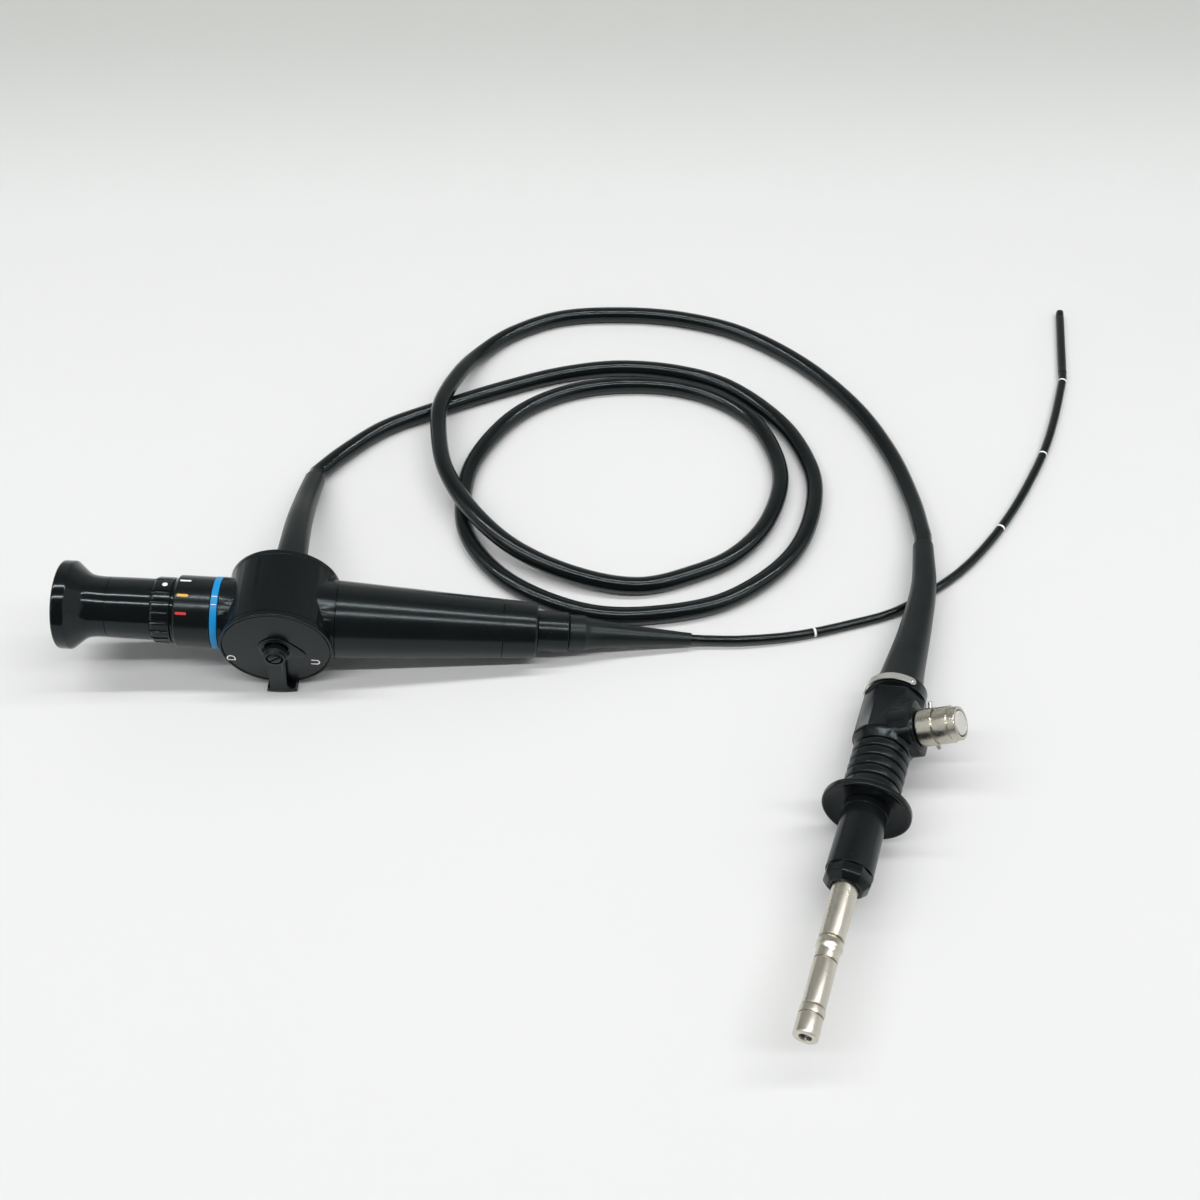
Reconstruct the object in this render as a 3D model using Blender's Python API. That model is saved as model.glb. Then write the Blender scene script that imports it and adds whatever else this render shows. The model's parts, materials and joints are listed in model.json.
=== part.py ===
"""Flexible endoscope with an eyepiece, a thumb lever and a light guide cord.

It lies on a table: the control body rests on its thumb lever and slopes down
to the insertion tube, the light guide cord makes two turns and ends in the
light source connector. Sizes are in millimetres and become metres when a mesh
is made. +X runs from the eyepiece to the insertion tube, +Z is up.
"""
import math

import bmesh
import bpy
from mathutils import Matrix, Vector

MM = 0.001
GAP = 0.3
TABLE_GAP = 0.05

# Control body, as it lies
AXIS_HEIGHT = 22.6
BODY_TILT = math.radians(7.1)

# Drum and necks
DRUM_R = 20.0
DRUM_HALF = 15.0
COVER_THICK = 2.0
DRUM_WALL = 2.4
NECK_R = 13.2
NECK_LENGTH = 20.6
GRIP_START = 20.2
GRIP_START_R = 14.4

# Eyepiece
BARREL_BORE_R = 6.6
BARREL_TUBE_R = 8.4
BARREL_R = 11.1
BARREL_ROOT = 14.0
BLUE_RING_LENGTH = 2.4
INDEX_RING_R = 13.0
INDEX_RING_LENGTH = 12.8
DIOPTER_R = 11.9
DIOPTER_LENGTH = 7.6
DIOPTER_FLUTES = 16
FLUTE_DEPTH = 0.6
BARREL_LENGTH = 15.1
EYECUP_R = 15.9
EYECUP_NECK_R = 10.9
EYECUP_LENGTH = 16.9
EYECUP_RIM = 4.2
EYECUP_FLARE = 6.1
CUP_MOUTH_R = 13.2
WINDOW_R = 9.6
WINDOW_THICK = 1.2
CELL_R = 6.3
CELL_LENGTH = 9.0
OCULAR_R = 4.8
OCULAR_THICK = 3.2

# Grip, collar and insertion boot
GRIP_LENGTH = 60.0
GRIP_WALL = 1.8
END_RING_LENGTH = 12.5
GRIP_END_R = 10.4
COLLAR_R = 7.55
COLLAR_LENGTH = 11.3
COLLAR_SPIGOT_R = 5.6
BOOT_R = 6.7
BOOT_RING_LENGTH = 6.8
BOOT_LENGTH = 46.5
BOOT_END_R = 2.35

# Angulation lever and what it turns
SHAFT_R = 2.0
SHAFT_END = 3.4
HUB_R = 4.2
HUB_THICK = 3.6
HUB_GAP = 0.9
ARM_WIDTH = 6.4
ARM_THICK = 2.2
PAD_WIDTH = 11.2
PAD_THICK = 2.1
PAD_DEPTH = 7.1
SCREW_HEAD_R = 2.4
SCREW_SHANK_R = 0.9
BUSH_R = 3.9
CAM_PLATE_R = 6.7
CAM_PLATE_RISE = 0.4
PULLEY_R = 5.0
PULLEY_THICK = 4.0
PULLEY_Y = -6.0
ROD_R = 0.8
ROD_START = 8.0
ROD_LENGTH = 56.0
STAY_START = 34.0
STAY_THICK = 6.0

# Fibre bundles
IMAGE_BUNDLE_R = 1.4
IMAGE_BUNDLE_START = -40.0
IMAGE_BUNDLE_END = 72.0
LIGHT_BUNDLE_R = 1.8
LIGHT_BUNDLE_PASS = (4.2, -4.6)

# Insertion tube and bending section
TUBE_R = 1.8
TUBE_STEP = 11.5
BEND_ROOT = (330.4, 152.8)
BEND_HEADING = math.radians(77.5)
LINK_COUNT = 8
LINK_PITCH = 4.0
LINK_R = 1.5
LINK_BORE_R = 0.9
LINK_CLEARANCE = 0.3
LUG_WIDTH = 1.4
POCKET_GAP = 0.25
LUG_OUTER = 1.45
LUG_INNER = 1.2
TONGUE_OUTER = 1.1
TONGUE_INNER = 0.78
RIVET_R = 0.28
RIVET_HOLE_R = 0.4
RIVET_REACH = 0.95
FERRULE_LENGTH = 3.0
TIP_R = 1.7
TIP_LENGTH = 7.4
OBJECTIVE_R = 0.6
OBJECTIVE_OFFSET = 0.6
LIGHT_LENS_R = 0.4
LIGHT_LENS_OFFSET = 0.95
LENS_DEPTH = 0.8

# Light guide boot and cord
CORD_R = 3.5
CORD_STEP = 22.0
BOOT_NUT_R = 7.8
BOOT_NUT_LENGTH = 2.5
CORD_BOOT_R = 6.2
CORD_BOOT_END_R = 4.2

# Light source connector
CONNECTOR_AT = (202.6, -81.4, 16.1)
CONNECTOR_HEADING = math.radians(-111.6)
CONNECTOR_RISE = math.radians(4.0)
FLANGE_R = 15.0
FLANGE_THICK = 3.0
FLANGE_DISH_R = 11.8
FLANGE_DISH = 1.8
FLANGE_BACK = 7.7
RIB_R = 9.8
RIB_COUNT = 4
RIB_PITCH = 4.0
RIB_DEPTH = 0.7
BODY_R = 10.9
BODY_LENGTH = 30.2
BODY_FLAT = 8.7
BAND_FROM_START = 2.5
BAND_WIDTH = 3.0
BAND_THICK = 0.5
BAND_START = math.radians(72.0)
BAND_END = math.radians(200.0)
VENT_ANGLE = math.radians(36.0)
VENT_FROM_FLANGE = 33.7
VENT_BOSS_R = 7.4
VENT_BOSS_HEIGHT = 13.0
VENT_BOSS_SIDE = 7.6
VENT_R = 6.5
VENT_LENGTH = 14.0
VENT_GROOVE_AT = 5.8
VENT_RIM_LENGTH = 2.6
VENT_RIM_R = 5.7
VENT_DISC_R = 4.2
VENT_RECESS = 3.2
VENT_TRAVEL = 1.2
VENT_PIN_R = 0.7
VENT_PIN_REACH = 2.6
VENT_PIN_UPPER = math.radians(25.0)
VENT_PIN_LOWER = math.radians(75.0)
SLEEVE_R = 7.8
SLEEVE_LENGTH = 26.4
SLEEVE_BASE_R = 8.2
SLEEVE_COLLAR_R = 7.8
SLEEVE_COLLAR_LENGTH = 5.6
PIN_START_R = 4.4
PIN_R = 4.0
PIN_NOSE_R = 3.75
PIN_LENGTH = 52.6
PIN_START = 22.0
PIN_GROOVE_AT = 51.6
PIN_BULGE = 3.4
FERRULE_TIP_R = 3.85
FERRULE_TIP_LENGTH = 9.4
FERRULE_BORE_R = 1.9
CONNECTOR_BOOT_R = 8.4
CONNECTOR_BOOT_END_R = 3.95

# Routes over the table, measured from the point under the drum's centre
TUBE_ROUTE = [
    (171, -0.2, 2.9), (191, 2, 2.2), (211, 6.7, 1.9), (230, 12.6, 1.8), (247, 22.8, 1.8),
    (262, 34.4, 1.8), (276, 49.2, 1.8), (288.5, 65.4, 1.8), (300, 83, 1.8), (310, 100.4, 1.8),
    (318.4, 118.5, 1.8), (325.4, 136, 1.8),
]
LIGHT_BOOT_ROUTE = [(0, 33, 21.6), (-0.6, 51, 17.4), (-0.9, 69, 11.2), (-0.2, 85.3, 6.3)]
CORD_ROUTE = [
    (10.2, 103.6, 3.9), (25.9, 118.5, 3.5), (47.8, 130.6, 3.5), (75.2, 143.6, 3.5),
    (102, 152.3, 3.5), (129, 155, 3.5), (156, 150.9, 3.5), (178, 139, 3.5), (197, 115, 3.5),
    (207, 91.3, 3.5), (206.5, 71, 3.5), (198, 49.1, 3.5), (184, 33.7, 3.5), (163.5, 21.9, 3.5),
    (140, 15.6, 3.5), (116.6, 14.2, 3.5), (95.5, 21.7, 3.5), (77.7, 35.3, 3.5), (65.2, 52.5, 3.5),
    (61.6, 71.9, 3.5), (67, 94.9, 3.5), (80.1, 119, 3.5), (97.5, 134, 3.5), (119.9, 142.8, 3.5),
    (146.7, 142.6, 3.5), (168.5, 135, 3.5), (184.9, 120.4, 3.5), (193.6, 100.7, 3.5),
    (193.4, 79.9, 3.5), (184.8, 57.6, 3.5), (171, 41.8, 3.5), (154.5, 32.9, 3.5),
    (132.6, 28.8, 3.6), (109.2, 32.3, 5.6), (85.7, 45.3, 8.8), (67.5, 62.1, 10.9), (55.6, 86, 11),
    (50.3, 109, 11), (50.1, 126, 11.4), (54.4, 150, 8.5), (63.5, 167.5, 4.6), (79, 183, 3.5),
    (102.3, 193.2, 3.5), (130.6, 195.5, 3.5), (158.6, 189.6, 3.5), (185.7, 176.6, 3.5),
    (210.7, 152.9, 3.5), (229.3, 124.7, 3.5), (240.1, 96.5, 3.6), (244.6, 68, 5.2),
]
CONNECTOR_BOOT_ROUTE = [(245.2, 40.5, 8.3), (241.2, 19, 9.6), (234, -2.5, 10.6)]

BLACK_SATIN = (0.012, 0.013, 0.014)
BLACK_RUBBER = (0.010, 0.011, 0.012)
STEEL = (0.62, 0.60, 0.56)


def clear_scene():
    for old in list(bpy.data.objects):
        bpy.data.objects.remove(old)


def material(name, colour, roughness, metallic=0.0):
    made = bpy.data.materials.new(name)
    made.use_nodes = True
    shader = made.node_tree.nodes["Principled BSDF"]
    shader.inputs["Base Color"].default_value = (*colour, 1.0)
    shader.inputs["Roughness"].default_value = roughness
    shader.inputs["Metallic"].default_value = metallic
    return made


def empty(name, parent=None, location=(0, 0, 0), rotation=(0, 0, 0)):
    made = bpy.data.objects.new(name, None)
    bpy.context.scene.collection.objects.link(made)
    made.parent = parent
    made.location = Vector(location) * MM
    made.rotation_euler = rotation
    return made


def solid(name, bm):
    """Turns a closed bmesh in millimetres into an object with its faces pointing out."""
    bmesh.ops.remove_doubles(bm, verts=bm.verts, dist=0.001)
    bmesh.ops.recalc_face_normals(bm, faces=bm.faces)
    if bm.calc_volume(signed=True) < 0:
        bmesh.ops.reverse_faces(bm, faces=bm.faces)
    bmesh.ops.scale(bm, vec=(MM, MM, MM), verts=bm.verts)
    mesh = bpy.data.meshes.new(name)
    bm.to_mesh(mesh)
    bm.free()
    made = bpy.data.objects.new(name, mesh)
    bpy.context.scene.collection.objects.link(made)
    return made


def place(piece, look, parent, location=(0, 0, 0), rotation=(0, 0, 0)):
    piece.parent = parent
    piece.location = Vector(location) * MM
    piece.rotation_euler = rotation
    piece.data.materials.clear()
    piece.data.materials.append(look)
    piece.data.shade_smooth()
    piece.data.set_sharp_from_angle(angle=math.radians(32))
    return piece


def arc(centre, radius, start, end, steps):
    """Points of an arc in a plane, from one angle in degrees to another."""
    angles = [math.radians(start + (end - start) * i / steps) for i in range(steps + 1)]
    return [(centre[0] + radius * math.cos(a), centre[1] + radius * math.sin(a)) for a in angles]


def turned(name, profile, segments, axis="X"):
    """Spins a profile of (along, radius) points round an axis. A closed ring, unless it starts on the axis."""
    bm = bmesh.new()
    verts = [bm.verts.new((x, r, 0)) for x, r in profile]
    edges = [bm.edges.new(pair) for pair in zip(verts, verts[1:])]
    if profile[0][1] > 0:
        edges.append(bm.edges.new((verts[-1], verts[0])))
    bmesh.ops.spin(bm, geom=verts + edges, cent=(0, 0, 0), axis=(1, 0, 0),
                   angle=math.tau, steps=segments, use_merge=True)
    turn = {"X": Matrix.Identity(3), "Y": Matrix.Rotation(math.pi / 2, 3, "Z"),
            "Z": Matrix.Rotation(-math.pi / 2, 3, "Y")}[axis]
    bmesh.ops.rotate(bm, cent=(0, 0, 0), matrix=turn, verts=bm.verts)
    return solid(name, bm)


def rod(name, start, end, radius, segments, axis="X"):
    return turned(name, [(start, 0), (start, radius), (end, radius), (end, 0)], segments, axis)


def ring(name, start, end, outer, inner, segments, axis="X"):
    return turned(name, [(start, inner), (start, outer), (end, outer), (end, inner)], segments, axis)


def slab(name, outline, low, high, axis="Y"):
    """Extrudes an outline: (x, z) points along Y, or (x, y) points along Z."""
    bm = bmesh.new()
    if axis == "Y":
        verts = [bm.verts.new((u, low, v)) for u, v in outline]
        push = (0, high - low, 0)
    else:
        verts = [bm.verts.new((u, v, low)) for u, v in outline]
        push = (0, 0, high - low)
    face = bm.faces.new(verts)
    grown = bmesh.ops.extrude_face_region(bm, geom=[face], use_keep_orig=True)
    moved = [item for item in grown["geom"] if isinstance(item, bmesh.types.BMVert)]
    bmesh.ops.translate(bm, vec=push, verts=moved)
    return solid(name, bm)


def swept(name, points, radii, segments):
    """Sweeps a circle along a smooth line, its radius changing from ring to ring."""
    bm = bmesh.new()
    line = [Vector(p) for p in points]
    side = Vector((0, 0, 1))
    rings = []
    for i, centre in enumerate(line):
        ahead = (line[min(i + 1, len(line) - 1)] - line[max(i - 1, 0)]).normalized()
        side = (side - ahead * side.dot(ahead)).normalized()
        across = ahead.cross(side)
        turns = [math.tau * k / segments for k in range(segments)]
        rings.append([bm.verts.new(centre + radii[i] * (side * math.cos(t) + across * math.sin(t)))
                      for t in turns])
    for near, far in zip(rings, rings[1:]):
        for k in range(segments):
            following = (k + 1) % segments
            bm.faces.new((near[k], near[following], far[following], far[k]))
    bm.faces.new(rings[0])
    bm.faces.new(list(reversed(rings[-1])))
    return solid(name, bm)


def combine(base, *steps):
    """Joins or cuts a piece with helper solids, which are then removed."""
    for operation, helper in steps:
        change = base.modifiers.new("shape", "BOOLEAN")
        change.operation = operation
        change.solver = "EXACT"
        change.object = helper
        bpy.context.view_layer.update()
        graph = bpy.context.evaluated_depsgraph_get()
        shaped = bpy.data.meshes.new_from_object(base.evaluated_get(graph))
        base.modifiers.clear()
        base.data = shaped
        bpy.data.objects.remove(helper)
    return base


def smooth_line(points, step):
    """Points at about equal steps along a smooth curve through the given ones."""
    ends = [2 * Vector(points[0]) - Vector(points[1])]
    ends.append(2 * Vector(points[-1]) - Vector(points[-2]))
    knots = [ends[0]] + [Vector(p) for p in points] + [ends[1]]
    fine = []
    for a, b, c, d in zip(knots, knots[1:], knots[2:], knots[3:]):
        for i in range(24):
            t = i / 24
            fine.append(0.5 * (2 * b + (c - a) * t + (2 * a - 5 * b + 4 * c - d) * t ** 2
                               + (3 * b - 3 * c + d - a) * t ** 3))
    fine.append(knots[-2])
    travelled = [0.0]
    for near, far in zip(fine, fine[1:]):
        travelled.append(travelled[-1] + (far - near).length)
    count = max(2, round(travelled[-1] / step))
    even = []
    at = 0
    for i in range(count + 1):
        target = travelled[-1] * i / count
        while at < len(fine) - 2 and travelled[at + 1] < target:
            at += 1
        share = (target - travelled[at]) / max(travelled[at + 1] - travelled[at], 1e-9)
        even.append(fine[at].lerp(fine[at + 1], min(max(share, 0), 1)))
    return even


def cord_line(start, leave, route, end, arrive, step):
    """A smooth line that leaves its start and reaches its end along given directions."""
    stub = 5.0
    return [start, *smooth_line([start + leave * stub, *route, end - arrive * stub], step), end]


def cord(name, points, radius, roundness, look, parent):
    """A plain tube along a line, as a curve with a bevel and filled caps, never below the table."""
    curve = bpy.data.curves.new(name, "CURVE")
    curve.dimensions = "3D"
    curve.bevel_depth = radius * MM
    curve.bevel_resolution = roundness
    curve.use_fill_caps = True
    spline = curve.splines.new("POLY")
    spline.points.add(len(points) - 1)
    for knot, point in zip(spline.points, points):
        lifted = Vector((point.x, point.y, max(point.z, radius + TABLE_GAP)))
        knot.co = (*(lifted * MM), 1)
    curve.materials.append(look)
    made = bpy.data.objects.new(name, curve)
    bpy.context.scene.collection.objects.link(made)
    made.parent = parent


def taper(start_r, end_r, share, bow):
    """A radius between two ends, bowed in by a share of the difference."""
    return start_r + (end_r - start_r) * (share ** (1 / (1 + bow)))


def grip_radius(along):
    """The grip's cone, from the housing's neck to its rounded end."""
    full = GRIP_START + GAP + GRIP_LENGTH + GAP + END_RING_LENGTH
    return GRIP_START_R + (GRIP_END_R - GRIP_START_R) * (along - GRIP_START) / (full - GRIP_START)


def make_housing(look, body):
    """Drum along Y with a neck to the eyepiece and a conical neck to the grip."""
    side = DRUM_HALF - COVER_THICK - GAP
    inner_r = DRUM_R - DRUM_WALL
    drum = rod("housing", -side, side, DRUM_R, 48, "Y")
    neck = rod("neck", -NECK_LENGTH, 0, NECK_R, 32)
    root = turned("root", [(0, 0), (0, grip_radius(0)), (GRIP_START, GRIP_START_R), (GRIP_START, 0)], 32)
    hollow = rod("hollow", -DRUM_HALF - 1, DRUM_HALF + 1, inner_r, 32, "Y")
    eyepiece_bore = rod("bore", -NECK_LENGTH - 1, 0, BARREL_TUBE_R + GAP, 20)
    grip_bore = rod("bore", 0, GRIP_START + 1, grip_radius(GRIP_START) - GRIP_WALL, 20)
    near_seat = rod("seat", -DRUM_HALF - 3, -side, DRUM_R + 1, 16, "Y")
    far_seat = rod("seat", side, DRUM_HALF + 3, DRUM_R + 1, 16, "Y")
    combine(drum, ("UNION", neck), ("UNION", root), ("DIFFERENCE", hollow), ("DIFFERENCE", eyepiece_bore),
            ("DIFFERENCE", grip_bore), ("DIFFERENCE", near_seat), ("DIFFERENCE", far_seat))
    return place(drum, look, body)


def cover_profile(hole_r):
    """Half section of a drum cover: a plate with a bevelled edge and a locating step inside."""
    edge = 0.7
    outside = -DRUM_HALF
    inside = outside + COVER_THICK
    step_r = DRUM_R - DRUM_WALL - GAP
    return [(outside, hole_r), (outside, DRUM_R - edge), (outside + edge, DRUM_R), (inside, DRUM_R),
            (inside, step_r), (inside + 1.2, step_r), (inside + 1.2, step_r - 1.4), (inside, step_r - 1.4),
            (inside, hole_r)]


def make_covers(look, body):
    """The lever's cover has a raised plate round the hub, the far one a hole for the light bundle."""
    near = turned("lever_side_cover", cover_profile(BUSH_R + GAP), 36, "Y")
    wing = 10.2
    outline = arc((0, 0), CAM_PLATE_R, 40, 285, 12) + [(wing - 0.8, -3.2), (wing, -1.8), (wing - 1.4, 0.4)]
    plate = slab("plate", outline, -DRUM_HALF - CAM_PLATE_RISE, -DRUM_HALF + 0.5)
    hole = rod("hole", -DRUM_HALF - 2, -DRUM_HALF + 1, BUSH_R + GAP, 36, "Y")
    combine(plate, ("DIFFERENCE", hole))
    combine(near, ("UNION", plate))
    place(near, look, body)
    far = turned("cord_side_cover", cover_profile(LIGHT_BUNDLE_R + GAP), 36, "Y")
    place(far, look, body, rotation=(0, 0, math.pi))


def make_eyepiece(look, gloss, blue, glass, metal, body):
    """Rings from the housing's neck outwards, then the barrel and the eyecup."""
    bore = BARREL_TUBE_R + GAP
    blue_end = -NECK_LENGTH - GAP
    blue_start = blue_end - BLUE_RING_LENGTH
    place(ring("blue_ring", blue_start, blue_end, NECK_R, bore, 32), blue, body)
    index_end = blue_start - GAP
    index_start = index_end - INDEX_RING_LENGTH
    bevel = 0.5
    index = [(index_start, bore), (index_start, INDEX_RING_R - bevel), (index_start + bevel, INDEX_RING_R),
             (index_end, INDEX_RING_R), (index_end, bore)]
    place(turned("index_ring", index, 32), look, body)
    dial_end = index_start - GAP
    dial_start = dial_end - DIOPTER_LENGTH
    make_diopter_ring(dial_start, dial_end, bore, look, body)
    barrel_end = dial_start - GAP
    barrel_start = barrel_end - BARREL_LENGTH
    cup_end = barrel_start - GAP
    cup_start = cup_end - EYECUP_LENGTH
    window_back = cup_start + EYECUP_RIM + 3.8
    tube_start = window_back + GAP
    barrel = [(tube_start, BARREL_BORE_R), (tube_start, BARREL_TUBE_R - 0.4), (barrel_start, BARREL_TUBE_R - 0.4),
              (barrel_start, BARREL_R), (barrel_end, BARREL_R), (barrel_end, BARREL_TUBE_R),
              (-BARREL_ROOT, BARREL_TUBE_R), (-BARREL_ROOT, BARREL_BORE_R)]
    place(turned("eyepiece_barrel", barrel, 24), look, body)
    make_eyecup(cup_start, cup_end, window_back, gloss, body)
    window_end = window_back - GAP
    place(rod("eyepiece_window", window_end - WINDOW_THICK, window_end, WINDOW_R, 20), glass, body)
    cell_start = tube_start + 5.0
    cell_bore = OCULAR_R + GAP
    cell = ring("lens_cell", cell_start, cell_start + CELL_LENGTH, CELL_R, cell_bore, 16)
    place(cell, metal, body)
    lens_start = cell_start + 2.5
    bulge = 0.8
    lens = [(lens_start - bulge, 0), (lens_start - bulge / 2, OCULAR_R * 0.7), (lens_start, OCULAR_R),
            (lens_start + OCULAR_THICK, OCULAR_R), (lens_start + OCULAR_THICK + bulge / 2, OCULAR_R * 0.7),
            (lens_start + OCULAR_THICK + bulge, 0)]
    place(turned("ocular_lens", lens, 16), glass, body)


def make_eyecup(start, end, window_back, look, body):
    """Cup for the eye with a thick rim and a flare, and a step that holds the window."""
    rim_end = start + EYECUP_RIM
    neck = rim_end + EYECUP_FLARE
    flare = [(rim_end + EYECUP_FLARE * u, EYECUP_R - (EYECUP_R - EYECUP_NECK_R) * v)
             for u, v in ((0.33, 0.42), (0.66, 0.76), (0.85, 0.93))]
    inner_r = BARREL_TUBE_R - 0.4 + GAP
    seat_r = WINDOW_R + GAP
    seat_front = window_back - WINDOW_THICK - 2 * GAP
    profile = [(start, CUP_MOUTH_R), (start, EYECUP_R - 0.9), (start + 0.3, EYECUP_R - 0.3), (start + 0.9, EYECUP_R),
               (rim_end - 0.4, EYECUP_R), (rim_end, EYECUP_R - 0.3), *flare, (neck, EYECUP_NECK_R),
               (end, EYECUP_NECK_R), (end, inner_r), (window_back, inner_r), (window_back, seat_r),
               (seat_front, seat_r), (start + 1.2, CUP_MOUTH_R - 0.6)]
    place(turned("eyecup", profile, 28), look, body)


def make_diopter_ring(start, end, bore, look, body):
    """Fluted focus ring: flats between rounded grooves, with a plain band at its end."""
    def loop(bm, along, deep):
        verts = []
        for k in range(DIOPTER_FLUTES):
            for share, sink in ((0.0, 0.0), (0.5, 0.0), (0.66, 1.0), (0.84, 1.0)):
                turn = math.tau * (k + share) / DIOPTER_FLUTES
                r = DIOPTER_R - deep * sink
                verts.append(bm.verts.new((along, r * math.cos(turn), r * math.sin(turn))))
        return verts

    def inner(bm, along, outer):
        verts = []
        for v in outer:
            turn = math.atan2(v.co.z, v.co.y)
            verts.append(bm.verts.new((along, bore * math.cos(turn), bore * math.sin(turn))))
        return verts

    bm = bmesh.new()
    outers = [loop(bm, start, FLUTE_DEPTH), loop(bm, end, FLUTE_DEPTH)]
    loops = [inner(bm, start, outers[0]), outers[0], outers[1], inner(bm, end, outers[1])]
    count = len(outers[0])
    for near, far in zip(loops, loops[1:] + loops[:1]):
        for k in range(count):
            following = (k + 1) % count
            bm.faces.new((near[k], near[following], far[following], far[k]))
    place(solid("diopter_ring", bm), look, body)


def make_grip(look, rubber, body):
    """Conical shell, end ring, collar and the boot that keeps the tube from kinking."""
    start = GRIP_START + GAP
    end = start + GRIP_LENGTH
    shell = [(start, grip_radius(start) - GRIP_WALL), (start, grip_radius(start)),
             (end, grip_radius(end)), (end, grip_radius(end) - GRIP_WALL)]
    place(turned("grip_shell", shell, 32), look, body)
    ring_start = end + GAP
    ring_end = ring_start + END_RING_LENGTH
    inner_r = grip_radius(ring_start) - GRIP_WALL
    hole_r = COLLAR_SPIGOT_R + GAP
    corner = 2.2
    nose = [(ring_end - corner + corner * math.sin(a), GRIP_END_R - corner + corner * math.cos(a))
            for a in (math.radians(d) for d in (0, 30, 60, 90))]
    end_ring = [(ring_start, inner_r), (ring_start, grip_radius(ring_start)), *nose, (ring_end, hole_r),
                (ring_end - 3.0, hole_r), (ring_end - 3.0, inner_r - 0.6)]
    place(turned("grip_end_ring", end_ring, 32), look, body)
    collar_start = ring_end + GAP
    collar_end = collar_start + COLLAR_LENGTH
    spigot = collar_start - 4.0
    collar = [(spigot, 3.0), (spigot, COLLAR_SPIGOT_R), (collar_start, COLLAR_SPIGOT_R), (collar_start, COLLAR_R - 0.4),
              (collar_start + 0.4, COLLAR_R), (collar_end - 0.4, COLLAR_R), (collar_end, COLLAR_R - 0.4),
              (collar_end, 3.0)]
    place(turned("boot_collar", collar, 20), look, body)
    boot_start = collar_end + GAP
    shoulder = boot_start + BOOT_RING_LENGTH
    boot_end = boot_start + BOOT_LENGTH
    cone = [(shoulder + (boot_end - shoulder) * i / 5, taper(BOOT_R - 0.5, BOOT_END_R, i / 5, 0.45)) for i in range(6)]
    boot = [(boot_start, 0), (boot_start, BOOT_R - 0.3), (boot_start + 0.3, BOOT_R), (shoulder - 0.3, BOOT_R),
            *cone, (boot_end, 0)]
    place(turned("insertion_boot", boot, 20), rubber, body)
    return boot_end


def make_lever(look, metal, brass, pivot, body):
    """Thumb lever with its hub and a pad that rests on the table, its screw, shaft and wire pulley."""
    hub_back = -DRUM_HALF - HUB_GAP
    hub_front = hub_back - HUB_THICK
    counterbore = hub_front + 1.3
    arm_back = hub_back - 0.4
    arm_front = arm_back - ARM_THICK
    pad_outer = AXIS_HEIGHT
    pad_inner = AXIS_HEIGHT - PAD_THICK
    half_pad = math.degrees(PAD_WIDTH / 2 / pad_outer)
    hub = rod("angulation_lever", hub_front, hub_back, HUB_R, 24, "Y")
    half = ARM_WIDTH / 2
    blade_end = pad_inner + PAD_THICK / 2
    blade = slab("blade", [(-half, 0), (half, 0), (half * 0.94, -blade_end), (-half * 0.94, -blade_end)],
                 arm_front, arm_back)
    lowest = -90 + math.degrees(BODY_TILT)
    outline = arc((0, 0), pad_outer, -90 - half_pad, lowest, 4)
    outline += arc((0, 0), pad_outer, lowest, -90 + half_pad, 2)[1:]
    outline += arc((0, 0), pad_inner, -90 + half_pad, -90 - half_pad, 6)
    pad = slab("pad", outline, arm_front, arm_front + PAD_DEPTH)
    bore = rod("bore", counterbore - 0.1, hub_back + 1, SHAFT_R + GAP, 16, "Y")
    seat = rod("seat", hub_front - 1, counterbore, SCREW_HEAD_R + GAP, 16, "Y")
    combine(hub, ("UNION", blade), ("UNION", pad), ("DIFFERENCE", bore), ("DIFFERENCE", seat))
    place(hub, look, pivot)
    shaft_front = counterbore + GAP + 0.1
    head_front = hub_front - 0.2
    head_back = counterbore - GAP
    screw = turned("lever_screw", [(head_front, 0), (head_front, SCREW_HEAD_R - 0.3), (head_front + 0.3, SCREW_HEAD_R),
                                   (head_back, SCREW_HEAD_R), (head_back, SCREW_SHANK_R), (-DRUM_HALF, SCREW_SHANK_R),
                                   (-DRUM_HALF, 0)], 16, "Y")
    slot = slab("slot", [(-3, -0.35), (3, -0.35), (3, 0.35), (-3, 0.35)], head_front - 1, head_front + 0.6)
    place(combine(screw, ("DIFFERENCE", slot)), metal, pivot, rotation=(0, math.radians(-35), 0))
    hole_r = SCREW_SHANK_R + GAP
    shaft = turned("lever_shaft", [(shaft_front, hole_r), (shaft_front, SHAFT_R), (-SHAFT_END, SHAFT_R), (-SHAFT_END, 0),
                                   (-DRUM_HALF + GAP, 0), (-DRUM_HALF + GAP, hole_r)], 14, "Y")
    place(shaft, metal, pivot)
    half = PULLEY_THICK / 2
    groove = [(PULLEY_Y - half, SHAFT_R + GAP), (PULLEY_Y - half, PULLEY_R), (PULLEY_Y - 0.7, PULLEY_R),
              (PULLEY_Y, PULLEY_R - 1.0), (PULLEY_Y + 0.7, PULLEY_R), (PULLEY_Y + half, PULLEY_R),
              (PULLEY_Y + half, SHAFT_R + GAP)]
    place(turned("wire_pulley", groove, 20, "Y"), brass, pivot)
    cover_inside = -DRUM_HALF + COVER_THICK
    lip = cover_inside + GAP
    bush = [(-DRUM_HALF + GAP, SHAFT_R + GAP), (-DRUM_HALF + GAP, BUSH_R), (lip, BUSH_R), (lip, BUSH_R + 1.3),
            (lip + 1.4, BUSH_R + 1.3), (lip + 1.4, SHAFT_R + GAP)]
    place(turned("shaft_bush", bush, 18, "Y"), brass, body)


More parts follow.
